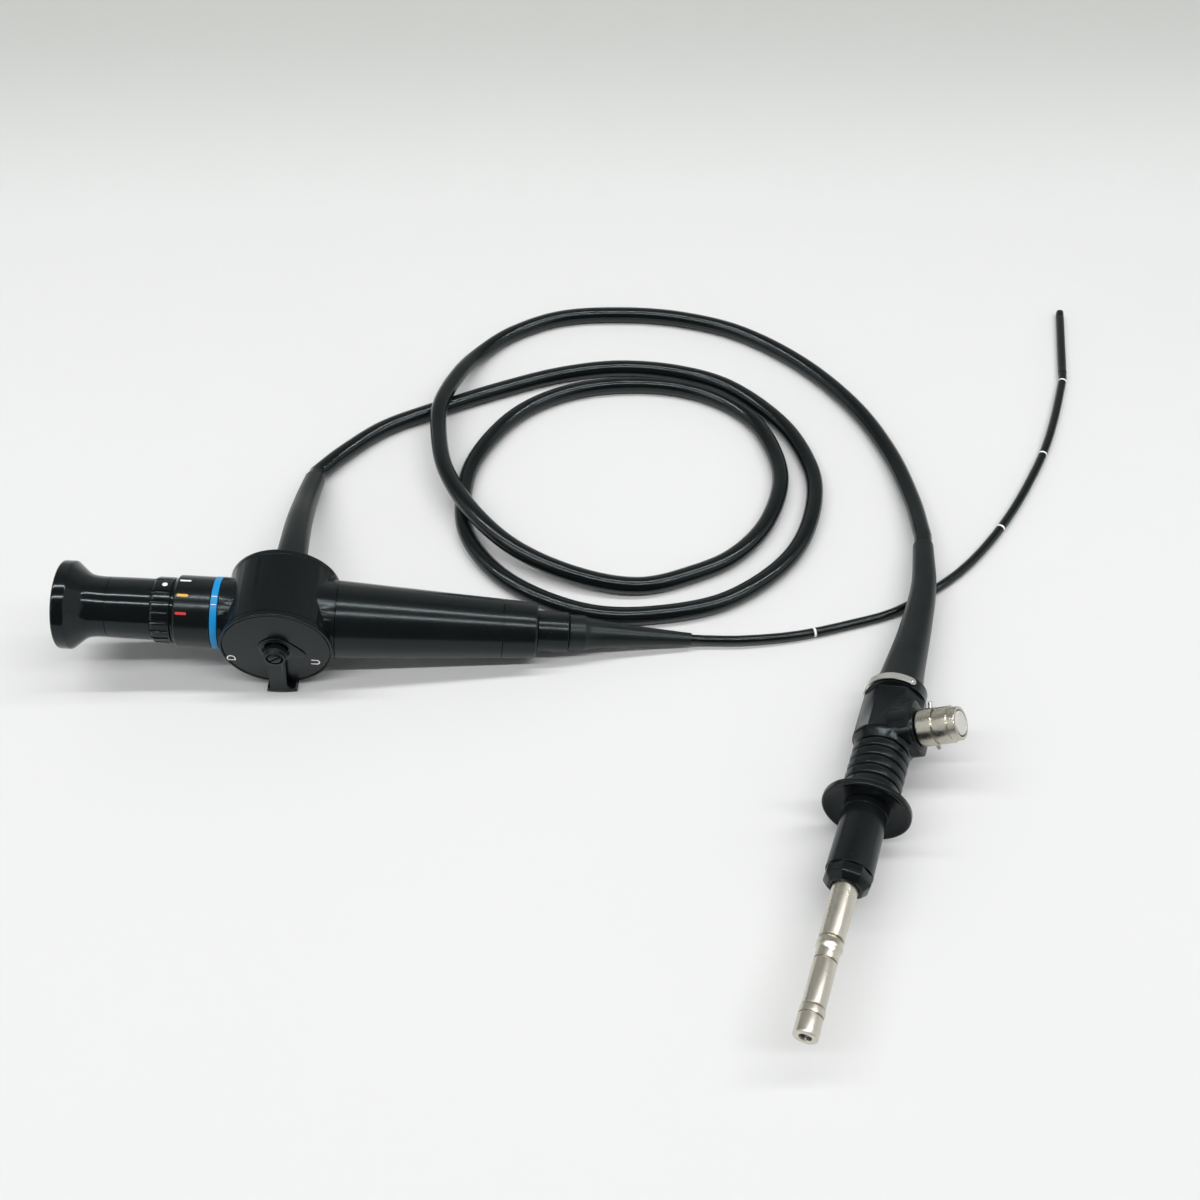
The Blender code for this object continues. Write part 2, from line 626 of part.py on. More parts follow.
def make_wires(metal, plastic, body):
    """Two rods that the pulley draws back and forth, through the stay block in the grip."""
    half = PULLEY_R
    for name, height in (("up_wire_rod", half), ("down_wire_rod", -half)):
        place(rod(name, 0, ROD_LENGTH, ROD_R, 8), metal, body, (ROD_START, PULLEY_Y, height))
    stay_r = grip_radius(STAY_START + STAY_THICK) - GRIP_WALL - GAP
    stay = rod("coil_stay", STAY_START, STAY_START + STAY_THICK, stay_r, 24)
    holes = [(PULLEY_Y, half, ROD_R), (PULLEY_Y, -half, ROD_R), (0, 0, IMAGE_BUNDLE_R),
             (*LIGHT_BUNDLE_PASS, LIGHT_BUNDLE_R)]
    for across, up, radius in holes:
        cutter = rod("hole", STAY_START - 1, STAY_START + STAY_THICK + 1, radius + GAP, 10)
        cutter.location = Vector((0, across, up)) * MM
        combine(stay, ("DIFFERENCE", cutter))
    place(stay, plastic, body)


def make_bundles(fibre, body):
    """Image bundle along the axis, and light bundle from the cord's side round into the grip."""
    image = rod("image_bundle", IMAGE_BUNDLE_START, IMAGE_BUNDLE_END, IMAGE_BUNDLE_R, 8)
    place(image, fibre, body)
    across, up = LIGHT_BUNDLE_PASS
    inner_end = DRUM_HALF - COVER_THICK - GAP
    route = [(0, inner_end, 0), (1.0, inner_end - 3.4, -1.2), (5.0, 6.4, -3.2), (12, across + 0.3, up + 0.4),
             (22, across, up), (IMAGE_BUNDLE_END - 10, across, up)]
    line = [Vector((0, DRUM_HALF - GAP, 0)), *smooth_line(route, 4.5)]
    place(swept("light_bundle", line, [LIGHT_BUNDLE_R] * len(line), 8), fibre, body)


def link_mesh(name, ring_start, ring_end, tongues, lugs, outer_r):
    """A ring with two tongues behind, bored for rivets, and two lugs in front with rivets."""
    link = ring(name, ring_start, ring_end, outer_r, LINK_BORE_R, 12)
    half = LUG_WIDTH / 2
    pocket_r = half + POCKET_GAP
    between = (TONGUE_OUTER + LUG_INNER) / 2
    if lugs is not None:
        pocket = rod("pocket", -between, between, pocket_r, 8, "Z")
        pocket.location = (lugs * MM, 0, 0)
        combine(link, ("DIFFERENCE", pocket))
    for side in (1, -1):
        if tongues:
            low, high = sorted((side * between, side * 3))
            combine(link, ("DIFFERENCE", rod("pocket", low, high, pocket_r, 8, "Z")))
            shape = arc((0, 0), half, 90, 270, 3) + [(ring_start + 0.4, -half), (ring_start + 0.4, half)]
            low, high = sorted((side * TONGUE_INNER, side * TONGUE_OUTER))
            tongue = slab("tongue", shape, low, high, "Z")
            combine(tongue, ("DIFFERENCE", rod("hole", -2, 2, RIVET_HOLE_R, 6, "Z")))
            combine(link, ("UNION", tongue))
        if lugs is not None:
            shape = arc((lugs, 0), half, -90, 90, 3) + [(ring_end - 0.4, half), (ring_end - 0.4, -half)]
            low, high = sorted((side * LUG_INNER, side * LUG_OUTER))
            lug = slab("lug", shape, low, high, "Z")
            low, high = sorted((side * RIVET_REACH, side * (LUG_INNER + 0.1)))
            rivet = rod("rivet", low, high, RIVET_R, 6, "Z")
            rivet.location = (lugs * MM, 0, 0)
            combine(lug, ("UNION", rivet))
            combine(link, ("UNION", lug))
    return link


def make_bending_section(steel, dark, glass, foot):
    """Ferrule, eight riveted links and the distal tip, each hinged on the one before it."""
    root = empty("bend_root", foot, (*BEND_ROOT, TUBE_R), (0, 0, BEND_HEADING))
    ferrule = link_mesh("tube_ferrule", -FERRULE_LENGTH - LINK_CLEARANCE, -LINK_CLEARANCE, False, 0.0, LINK_R)
    place(ferrule, steel, root)
    pattern = link_mesh("link", LINK_CLEARANCE, LINK_PITCH - LINK_CLEARANCE, True, LINK_PITCH, LINK_R)
    carrier = root
    for i in range(LINK_COUNT):
        link = pattern.copy()
        link.name = f"bending_link_{i + 1}"
        bpy.context.scene.collection.objects.link(link)
        place(link, steel, carrier, (0 if carrier is root else LINK_PITCH, 0, 0))
        carrier = link
    bpy.data.objects.remove(pattern)
    tip = link_mesh("distal_tip", LINK_CLEARANCE, 1.6, True, None, LINK_R)
    nose = turned("nose", [(1.2, 0), (1.2, TIP_R), (TIP_LENGTH - 0.4, TIP_R), (TIP_LENGTH, TIP_R - 0.4),
                           (TIP_LENGTH, 0)], 16)
    combine(tip, ("UNION", nose))
    lens_back = TIP_LENGTH - LENS_DEPTH
    for offset, radius in ((-OBJECTIVE_OFFSET, OBJECTIVE_R), (LIGHT_LENS_OFFSET, LIGHT_LENS_R)):
        seat = rod("seat", lens_back - 0.1, TIP_LENGTH + 1, radius + 0.1, 10)
        seat.location = (0, offset * MM, 0)
        combine(tip, ("DIFFERENCE", seat))
    place(tip, dark, carrier, (LINK_PITCH, 0, 0))
    objective = rod("objective_lens", lens_back, TIP_LENGTH, OBJECTIVE_R, 10)
    place(objective, glass, tip, (0, -OBJECTIVE_OFFSET, 0))
    light_lens = rod("light_lens", lens_back, TIP_LENGTH, LIGHT_LENS_R, 10)
    place(light_lens, glass, tip, (0, LIGHT_LENS_OFFSET, 0))


def make_insertion_tube(boot_end, look, foot):
    """The flexible shaft, from the boot's mouth down to the table and along it."""
    axis = Vector((math.cos(BODY_TILT), 0, -math.sin(BODY_TILT)))
    mouth = Vector((0, 0, AXIS_HEIGHT)) + axis * (boot_end + GAP)
    heading = Vector((math.cos(BEND_HEADING), math.sin(BEND_HEADING), 0))
    last = Vector((*BEND_ROOT, TUBE_R)) - heading * (FERRULE_LENGTH + LINK_CLEARANCE + GAP)
    line = cord_line(mouth, axis, TUBE_ROUTE, last, heading, TUBE_STEP)
    cord("insertion_tube", line, TUBE_R, 2, look, foot)


def make_light_guide(look, rubber, plastic, foot):
    """Nut and boot on the drum's far side, and the cord that lies in two turns."""
    nut = turned("boot_nut", [(DRUM_HALF + GAP, CORD_R), (DRUM_HALF + GAP, BOOT_NUT_R),
                              (DRUM_HALF + BOOT_NUT_LENGTH - 0.5, BOOT_NUT_R),
                              (DRUM_HALF + BOOT_NUT_LENGTH, BOOT_NUT_R - 0.5),
                              (DRUM_HALF + BOOT_NUT_LENGTH, CORD_R)], 24, "Y")
    place(nut, plastic, foot, (0, 0, AXIS_HEIGHT))
    start = (0, DRUM_HALF + BOOT_NUT_LENGTH + GAP, AXIS_HEIGHT)
    line = smooth_line([start, *LIGHT_BOOT_ROUTE], 9.0)
    last = len(line) - 1
    radii = [CORD_BOOT_R + (CORD_BOOT_END_R - CORD_BOOT_R) * i / last for i in range(last + 1)]
    place(swept("light_guide_boot", line, radii, 16), rubber, foot)
    leave = (line[-1] - line[-2]).normalized()
    tail = connector_boot_line()
    arrive = (tail[1] - tail[0]).normalized()
    route = cord_line(line[-1] + leave * GAP, leave, CORD_ROUTE, tail[0] - arrive * GAP, arrive, CORD_STEP)
    cord("light_guide_cord", route, CORD_R, 3, look, foot)


def connector_boot_line():
    """The line of the connector's boot, from the cord up into the connector's axis."""
    top = -FLANGE_BACK - RIB_COUNT * RIB_PITCH - BODY_LENGTH - 3 * GAP
    ahead = Vector((math.cos(CONNECTOR_RISE) * math.cos(CONNECTOR_HEADING),
                    math.cos(CONNECTOR_RISE) * math.sin(CONNECTOR_HEADING), math.sin(CONNECTOR_RISE)))
    mouth = Vector(CONNECTOR_AT) + ahead * top
    return smooth_line([*CONNECTOR_BOOT_ROUTE, mouth - ahead * 8, mouth], 7.5)


def make_connector_boot(rubber, foot):
    """Tapered boot that bends from the cord into the connector's axis."""
    line = connector_boot_line()
    last = len(line) - 1
    radii = []
    for i in range(last + 1):
        share = i / last
        radii.append(CONNECTOR_BOOT_END_R + (CONNECTOR_BOOT_R - CONNECTOR_BOOT_END_R) * (0.6 * share + 0.4 * share ** 3))
    place(swept("connector_boot", line, radii, 18), rubber, foot)


def make_connector(look, metal, glass, white, frame):
    """Light source connector: body with vent, ribbed grip, flange, sleeve and light guide pin."""
    ribs_end = -FLANGE_BACK - GAP
    ribs_start = ribs_end - RIB_COUNT * RIB_PITCH
    body_end = ribs_start - GAP
    body_start = body_end - BODY_LENGTH
    make_connector_body(body_start, body_end, look, frame)
    make_band(body_start + BAND_FROM_START, metal, frame)
    make_vent(metal, white, frame)
    inner = 4.0
    ribs = [(ribs_start, inner)]
    for i in range(RIB_COUNT):
        low = ribs_start + i * RIB_PITCH
        ribs += [(low, RIB_R - RIB_DEPTH), (low + 0.8, RIB_R - RIB_DEPTH), (low + 1.1, RIB_R),
                 (low + RIB_PITCH - 0.3, RIB_R)]
    ribs += [(ribs_end, RIB_R - RIB_DEPTH), (ribs_end, inner)]
    place(turned("ribbed_grip", ribs, 20), look, frame)
    back = -FLANGE_BACK
    rim_back = -FLANGE_THICK / 2
    rim_front = FLANGE_THICK / 2
    bottom = rim_front - FLANGE_DISH
    flange = [(back, inner), (back, RIB_R - 0.4), (back + 2.6, RIB_R - 0.2), (rim_back - 1.2, FLANGE_R - 3.2),
              (rim_back, FLANGE_R - 0.4), (rim_back + 0.4, FLANGE_R), (rim_front - 0.4, FLANGE_R),
              (rim_front, FLANGE_R - 0.4), (rim_front, FLANGE_DISH_R), (bottom, FLANGE_DISH_R - 0.8), (bottom, inner)]
    place(turned("grip_flange", flange, 28), look, frame)
    sleeve_start = bottom + GAP
    step = sleeve_start + 2.4
    sleeve_end = sleeve_start + SLEEVE_LENGTH
    pin_bore = PIN_START_R + GAP
    sleeve = [(sleeve_start, pin_bore), (sleeve_start, SLEEVE_BASE_R), (step, SLEEVE_BASE_R), (step + 0.6, SLEEVE_R),
              (sleeve_end, SLEEVE_R), (sleeve_end, pin_bore)]
    place(turned("pin_sleeve", sleeve, 20), look, frame)
    collar_start = sleeve_end + GAP
    collar_end = collar_start + SLEEVE_COLLAR_LENGTH
    collar = turned("sleeve_collar", [(collar_start, pin_bore), (collar_start, SLEEVE_COLLAR_R),
                                      (collar_end - 2.4, SLEEVE_COLLAR_R), (collar_end, SLEEVE_COLLAR_R - 1.8),
                                      (collar_end, pin_bore)], 16)
    place(collar, look, frame)
    make_pin(metal, glass, frame)


def make_connector_body(start, end, look, frame):
    """Round body with a label flat, and a square boss that carries the vent."""
    shoulder = BAND_FROM_START + BAND_WIDTH + GAP
    profile = [(start, 4.0), (start, CONNECTOR_BOOT_R), (start + 0.6, BODY_R - 0.8), (start + 1.4, BODY_R - 0.5),
               (start + shoulder, BODY_R - 0.5), (start + shoulder + 0.4, BODY_R), (end - 3.4, BODY_R),
               (end - 0.6, BODY_R - 1.6), (end, BODY_R - 1.6), (end, 4.0)]
    body = turned("connector_body", profile, 24)
    flat = slab("flat", [(start + shoulder + 0.4, -12), (end - 3.0, -12), (end - 3.0, 12),
                         (start + shoulder + 0.4, 12)], BODY_FLAT, BODY_FLAT + 6, "Z")
    flat.rotation_euler = (math.radians(16), 0, 0)
    boss = turned("boss", [(5.0, 0), (5.0, VENT_BOSS_R + 1.0), (VENT_BOSS_HEIGHT - 3.2, VENT_BOSS_R),
                           (VENT_BOSS_HEIGHT, VENT_BOSS_R - 0.6), (VENT_BOSS_HEIGHT, 0)], 20, "Y")
    side = VENT_BOSS_SIDE
    corner = side * 0.4
    square = [(-side, corner - side), (corner - side, -side), (side - corner, -side), (side, corner - side),
              (side, side - corner), (side - corner, side), (corner - side, side), (-side, side - corner)]
    block = slab("block", square, 4.0, VENT_BOSS_HEIGHT - 0.8)
    for piece in (boss, block):
        piece.rotation_euler = (VENT_ANGLE, 0, 0)
        piece.location = (-VENT_FROM_FLANGE * MM, 0, 0)
    combine(body, ("DIFFERENCE", flat), ("UNION", boss), ("UNION", block))
    place(body, look, frame)


def make_band(start, metal, frame):
    """Steel band part way round the body's shoulder, held by a rivet and a screw."""
    low = BODY_R - 0.5 + GAP
    high = low + BAND_THICK
    steps = 14
    outline = [(high * math.cos(a), high * math.sin(a)) for a in
               (BAND_START + (BAND_END - BAND_START) * i / steps for i in range(steps + 1))]
    outline += [(low * math.cos(a), low * math.sin(a)) for a in
                (BAND_END - (BAND_END - BAND_START) * i / steps for i in range(steps + 1))]
    band = slab("id_band", outline, start, start + BAND_WIDTH, "Z")
    turn = Matrix(((0, 0, 1, 0), (1, 0, 0, 0), (0, 1, 0, 0), (0, 0, 0, 1)))
    band.data.transform(turn)
    place(band, metal, frame)
    for name, angle, radius in (("band_rivet", BAND_START + 0.16, 0.7), ("band_screw", BAND_END - 0.1, 1.0)):
        head = rod(name, high + GAP, high + GAP + 0.7, radius, 10, "Y")
        head.rotation_euler = (angle, 0, 0)
        place(head, metal, frame, (start + BAND_WIDTH / 2, 0, 0), (angle, 0, 0))


def make_vent(metal, white, frame):
    """Nickel-plated vent with a groove, a rim, an end disc and two bayonet pins."""
    vent = empty("vent_axis", frame, (-VENT_FROM_FLANGE, 0, 0), (VENT_ANGLE, 0, 0))
    base = VENT_BOSS_HEIGHT + GAP
    groove = base + VENT_GROOVE_AT
    end = base + VENT_LENGTH
    recess = VENT_DISC_R + GAP
    floor = end - VENT_RECESS
    rim = end - VENT_RIM_LENGTH
    profile = [(base, 0), (base, VENT_R), (groove, VENT_R), (groove, VENT_R - 0.9), (groove + 0.8, VENT_R - 0.9),
               (groove + 0.8, VENT_R - 0.2), (rim, VENT_R - 0.2), (rim, VENT_RIM_R), (end, VENT_RIM_R),
               (end, recess), (floor, recess), (floor, 0)]
    place(turned("vent_connector", profile, 20, "Y"), metal, vent)
    disc_back = floor + VENT_TRAVEL + GAP
    place(rod("vent_disc", disc_back, end + 0.3, VENT_DISC_R, 16, "Y"), white, vent)
    for name, side, angle in (("vent_pin_upper", -1, VENT_PIN_UPPER), ("vent_pin_lower", 1, VENT_PIN_LOWER)):
        inner, outer = sorted((side * (VENT_R + GAP), side * (VENT_R + VENT_PIN_REACH)))
        pin = rod(name, inner, outer, VENT_PIN_R, 8)
        place(pin, metal, vent, (0, base + 3.0, 0), (0, angle, 0))


def make_pin(metal, glass, frame):
    """Light guide pin with its grooves and bulge, its ferrule and the glass end."""
    start = PIN_START
    end = start + PIN_LENGTH
    groove = 0.45
    bulge = PIN_GROOVE_AT + groove
    second = PIN_GROOVE_AT + 7.6
    profile = [(start, 0), (start, PIN_START_R), (PIN_GROOVE_AT - groove, PIN_R), (PIN_GROOVE_AT - groove, PIN_R - 0.4),
               (bulge, PIN_R - 0.4), (bulge, PIN_R), (bulge + 1.0, PIN_R + 0.25), (bulge + PIN_BULGE - 1.0, PIN_R + 0.25),
               (bulge + PIN_BULGE, PIN_NOSE_R), (second - groove, PIN_NOSE_R), (second - groove, PIN_NOSE_R - 0.4),
               (second + groove, PIN_NOSE_R - 0.4), (second + groove, PIN_NOSE_R), (end, PIN_NOSE_R), (end, 0)]
    place(turned("light_guide_pin", profile, 16), metal, frame)
    tip_start = end + GAP
    tip_end = tip_start + FERRULE_TIP_LENGTH
    mark = tip_start + 2.6
    ferrule = [(tip_start, FERRULE_BORE_R), (tip_start, FERRULE_TIP_R), (mark - 0.3, FERRULE_TIP_R),
               (mark, FERRULE_TIP_R - 0.3), (mark + 0.3, FERRULE_TIP_R), (tip_end - 0.4, FERRULE_TIP_R),
               (tip_end, FERRULE_TIP_R - 0.4), (tip_end, FERRULE_BORE_R)]
    place(turned("pin_ferrule", ferrule, 16), metal, frame)
    glass_rod = rod("light_guide_glass", tip_start, tip_end - 1.0, FERRULE_BORE_R - GAP, 8)
    place(glass_rod, glass, frame)


def middle_of_body(boot_end):
    """Where the point under the drum lies, so that the origin is under the control body's middle."""
    rings = NECK_LENGTH + BLUE_RING_LENGTH + INDEX_RING_LENGTH + DIOPTER_LENGTH
    back = rings + BARREL_LENGTH + EYECUP_LENGTH + 5 * GAP
    low = -back * math.cos(BODY_TILT) - (EYECUP_R - 0.9) * math.sin(BODY_TILT)
    high = boot_end * math.cos(BODY_TILT) + BOOT_END_R * math.sin(BODY_TILT)
    near = -DRUM_HALF - HUB_GAP - HUB_THICK - 0.2
    far = DRUM_HALF + BOOT_NUT_LENGTH
    return (-(low + high) / 2, -(near + far) / 2, 0)


def main():
    clear_scene()
    satin = material("black satin plastic", BLACK_SATIN, 0.38)
    gloss = material("black gloss plastic", BLACK_SATIN, 0.25)
    rubber = material("black rubber", BLACK_RUBBER, 0.55)
    skin = material("black tube skin", BLACK_RUBBER, 0.42)
    blue = material("blue ring", (0.012, 0.25, 0.55), 0.4)
    nickel = material("nickel plate", STEEL, 0.25, 1.0)
    steel = material("stainless steel", STEEL, 0.3, 1.0)
    brass = material("brass", (0.72, 0.52, 0.22), 0.35, 1.0)
    glass = material("glass", (0.75, 0.8, 0.82), 0.05)
    white = material("white nylon", (0.75, 0.76, 0.72), 0.4)
    fibre = material("fibre bundle", (0.35, 0.33, 0.28), 0.6)

    foot = empty("drum_foot")
    body = empty("body_axis", foot, (0, 0, AXIS_HEIGHT), (0, BODY_TILT, 0))
    pivot = empty("lever_pivot", body)
    frame = empty("connector_axis", foot, CONNECTOR_AT, (0, -CONNECTOR_RISE, CONNECTOR_HEADING))

    make_housing(satin, body)
    make_covers(satin, body)
    make_eyepiece(satin, gloss, blue, glass, nickel, body)
    boot_end = make_grip(satin, rubber, body)
    foot.location = Vector(middle_of_body(boot_end)) * MM
    make_lever(satin, steel, brass, pivot, body)
    make_wires(steel, satin, body)
    make_bundles(fibre, body)
    make_insertion_tube(boot_end, skin, foot)
    make_bending_section(steel, satin, glass, foot)
    make_light_guide(skin, rubber, satin, foot)
    make_connector_boot(rubber, foot)
    make_connector(satin, nickel, glass, white, frame)
    bpy.context.view_layer.update()


main()
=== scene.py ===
"""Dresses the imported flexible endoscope: turned eyepiece rings, drum, grip, thumb lever, cords,
bending section, light source connector, their finishes, and the stage they lie on.

Lengths are written in millimetres in the frame of the part they belong to, and become metres when
a piece is finished. Each piece is shaped with edit mode operators and then put in its place.
"""
import json
import math

import bpy
from mathutils import Matrix, Vector


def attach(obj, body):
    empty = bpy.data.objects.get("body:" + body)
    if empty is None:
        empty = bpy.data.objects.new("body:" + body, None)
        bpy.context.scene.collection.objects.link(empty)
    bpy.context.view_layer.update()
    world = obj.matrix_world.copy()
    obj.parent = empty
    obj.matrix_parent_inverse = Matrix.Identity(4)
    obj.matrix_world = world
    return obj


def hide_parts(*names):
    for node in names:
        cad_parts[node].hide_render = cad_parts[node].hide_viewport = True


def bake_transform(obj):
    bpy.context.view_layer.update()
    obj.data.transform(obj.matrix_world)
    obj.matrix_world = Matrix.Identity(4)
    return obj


bl_info = {
    "name": "Flexible Endoscope",
    "version": (1, 0, 0),
    "blender": (4, 5, 0),
    "location": "3D View > Sidebar > Endoscope",
    "description": "Builds the visible pieces, finishes and stage of a flexible endoscope",
    "category": "Object",
}

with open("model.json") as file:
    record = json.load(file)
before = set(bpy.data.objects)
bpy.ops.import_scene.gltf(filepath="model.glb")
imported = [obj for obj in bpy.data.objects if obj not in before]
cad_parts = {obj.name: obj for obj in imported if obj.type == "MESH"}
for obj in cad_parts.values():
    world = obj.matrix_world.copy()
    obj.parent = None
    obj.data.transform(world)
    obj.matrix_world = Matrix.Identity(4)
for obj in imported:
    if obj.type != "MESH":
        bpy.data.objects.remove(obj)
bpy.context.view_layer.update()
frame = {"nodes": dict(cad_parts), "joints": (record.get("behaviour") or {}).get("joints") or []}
NODES = frame["nodes"]
JOINTS = {joint["name"]: joint for joint in frame["joints"]}
MM = 0.001


def rotation(degrees, axis="X"):
    return Matrix.Rotation(math.radians(degrees), 4, axis)


# The control body and the start of the bending section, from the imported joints
DRUM = Vector(JOINTS["lever_swing"]["pos_m"]) / MM
HEADING = Vector(JOINTS["up_wire_slide"]["axis"])
TILT = math.atan2(-HEADING.z, HEADING.x)
FOOT = Vector((DRUM.x, DRUM.y, 0))
BODY = Matrix.Translation(DRUM) @ Matrix.Rotation(TILT, 4, "Y")
TIP_TURN = math.radians(77.5)
BEND = Matrix.Translation(Vector(JOINTS["bend_1"]["pos_m"]) / MM) @ Matrix.Rotation(TIP_TURN, 4, "Z")

# The connector and its vent, where they lie in the photograph
CONNECTOR = Matrix.Translation(FOOT + Vector((202.6, -81.4, 16.1)))
CONNECTOR = CONNECTOR @ rotation(-111.6, "Z") @ rotation(-4, "Y")
VENT = CONNECTOR @ Matrix.Translation((-33.7, 0, 0)) @ rotation(36)

# The place of a piece that is made where it belongs
AS_MADE = Matrix.Identity(4)

# Sizes that several pieces share, the step along routes, and how close points are merged
CONNECTOR_BACK = -54.5
TUBE_BOOT_END = 151.7
LINK = 4.0
BENDS = 9
SHAFT_TO_BEND = 3.6
LAST_BEND_TO_END = 7.4
DOT_TURN = math.radians(-11.7)
ROUTE_STEP = 2.5
MERGE = 0.0005

# Middle lines of the cords and boots, measured from the point under the drum's middle
TUBE_ROUTE = [
    (171, -0.2, 2.9), (191, 2, 2.2), (211, 6.7, 1.9), (230, 12.6, 1.8), (247, 22.8, 1.8),
    (262, 34.4, 1.8), (276, 49.2, 1.8), (288.5, 65.4, 1.8), (300, 83, 1.8), (310, 100.4, 1.8),
    (318.4, 118.5, 1.8), (325.4, 136, 1.8),
]
LIGHT_BOOT_ROUTE = [(0, 17.8, 22.6), (0, 33, 21.6), (-0.6, 51, 17.4), (-0.9, 69, 11.2), (-0.2, 85.3, 6.3)]
CORD_ROUTE = [
    (10.2, 103.6, 3.9), (25.9, 118.5, 3.5), (48, 129.8, 3.5), (75.5, 141.9, 3.5), (102.2, 151.2, 3.5),
    (129, 155, 3.5), (156, 150.9, 3.5), (178.5, 139.8, 3.5), (198.2, 116.4, 3.5), (207, 91.3, 3.5),
    (206.5, 71, 3.5), (198.5, 48.6, 3.5), (184.8, 31.7, 3.5), (164.2, 18.2, 3.5), (140.6, 12.8, 3.5),
    (116.8, 13, 3.5), (95.3, 21, 3.5), (77.2, 34.4, 3.5), (65.2, 52.5, 3.5), (61.6, 71.9, 3.5),
    (65, 96.6, 3.5), (78.9, 120.9, 3.5), (97, 135.5, 3.5), (119.9, 142.8, 3.5), (146.7, 142.6, 3.5),
    (168.5, 135, 3.5), (184.9, 120.4, 3.5), (192.8, 100.2, 3.5), (193.4, 79.9, 3.5), (184.8, 57.6, 3.5),
    (171, 41.8, 3.5), (154.5, 32.9, 3.5), (132.6, 26.9, 3.6), (108.9, 30.7, 5.6), (84.6, 42.3, 8.8),
    (66.6, 61.2, 10.9), (54.5, 85.3, 11), (50.3, 109, 11), (50.8, 126, 11.4), (57.2, 147.2, 8.5),
    (65.2, 164.2, 4.6), (79.9, 180, 3.5), (102.6, 190.9, 3.5), (130.5, 192.8, 3.5), (158.5, 189, 3.5),
    (186.2, 177.6, 3.5), (212, 155.1, 3.5), (231.2, 126.9, 3.5), (242, 97.9, 3.6), (246.2, 68.9, 5.2),
]
CONNECTOR_BOOT_ROUTE = [(245.2, 40.5, 8.3), (241.2, 19, 9.6), (234, -2.5, 10.6)]


# Settings

def length(name, description, default):
    """A property in millimetres."""
    return bpy.props.FloatProperty(name=name, description=description, default=default, min=0.01)


def colour(name, description, default):
    return bpy.props.FloatVectorProperty(name=name, description=description, default=default,
                                         subtype="COLOR", size=3, min=0, max=1)


class EndoscopeSizes(bpy.types.PropertyGroup):
    """Sizes in millimetres that a user may change. The frame's joints and routes stay."""
    eyecup_radius: length("Eyecup radius", "Radius of the eyecup's rim", 15.9)
    barrel_radius: length("Barrel radius", "Radius of the eyepiece barrel", 11.1)
    diopter_radius: length("Diopter ring radius", "Radius over the flutes of the focus ring", 11.9)
    index_radius: length("Index ring radius", "Radius of the ring with the focus marks", 13.0)
    neck_radius: length("Neck radius", "Radius of the drum's neck and the blue ring", 13.2)
    drum_radius: length("Drum radius", "Radius of the drum with the thumb lever", 20.0)
    cord_radius: length("Cord radius", "Radius of the light guide cord", 3.5)
    tube_radius: length("Tube radius", "Radius of the insertion tube", 1.8)
    ring_mark: length("Ring mark width", "Width of the white rings on the insertion tube", 0.9)


class EndoscopeColours(bpy.types.PropertyGroup):
    """Base colours of the finishes."""
    plastic: colour("Plastic", "Black moulded and turned plastic", (0.0045, 0.0055, 0.006))
    skin: colour("Cord skin", "Black skin of the cords", (0.0040, 0.0052, 0.0055))
    rubber: colour("Rubber", "Black rubber of the boots and the bending section", (0.0065, 0.0078, 0.008))
    ring: colour("Blue ring", "Ring between the eyepiece and the drum", (0.008, 0.20, 0.46))
    nickel: colour("Nickel", "Plated pin and vent", (0.66, 0.62, 0.54))
    steel: colour("Steel", "Rivet, screw, links and shafts", (0.56, 0.55, 0.53))
    print: colour("Print", "White printed marks", (0.90, 0.91, 0.90))


# Shader maths

class Field:
    """A shader socket that can be added, subtracted and multiplied."""

    def __init__(self, shade, socket):
        self.shade = shade
        self.socket = socket

    def _with(self, operation, first, second):
        return self.shade.node("ShaderNodeMath", {"operation": operation}, {0: first, 1: second})

    def __add__(self, other):
        return self._with("ADD", self, other)

    def __radd__(self, other):
        return self._with("ADD", other, self)

    def __sub__(self, other):
        return self._with("SUBTRACT", self, other)

    def __rsub__(self, other):
        return self._with("SUBTRACT", other, self)

    def __mul__(self, other):
        return self._with("MULTIPLY", self, other)

    def __rmul__(self, other):
        return self._with("MULTIPLY", other, self)


class Nodes:
    """A node tree written as expressions."""

    def __init__(self, owner):
        owner.use_nodes = True
        self.tree = owner.node_tree

    def node(self, kind, settings, inputs, output=0):
        made = self.tree.nodes.new(kind)
        for key, value in settings.items():
            setattr(made, key, value)
        for key, value in inputs.items():
            self.feed(made.inputs[key], value)
        return Field(self, made.outputs[output])

    def feed(self, socket, value):
        if isinstance(value, Field):
            self.tree.links.new(value.socket, socket)
        elif socket.type == "RGBA":
            socket.default_value = (*value[:3], 1)
        else:
            socket.default_value = value

    def step(self, value, low, high, first=0.0, last=1.0):
        """One number below a value, another above a second value, smooth between."""
        return self.node("ShaderNodeMapRange", {"interpolation_type": "SMOOTHSTEP"},
                         {"Value": value, "From Min": low, "From Max": high, "To Min": first, "To Max": last})

    def part(self, vector, axis):
        """One of a vector's three numbers."""
        return self.node("ShaderNodeSeparateXYZ", {}, {0: vector}, axis)


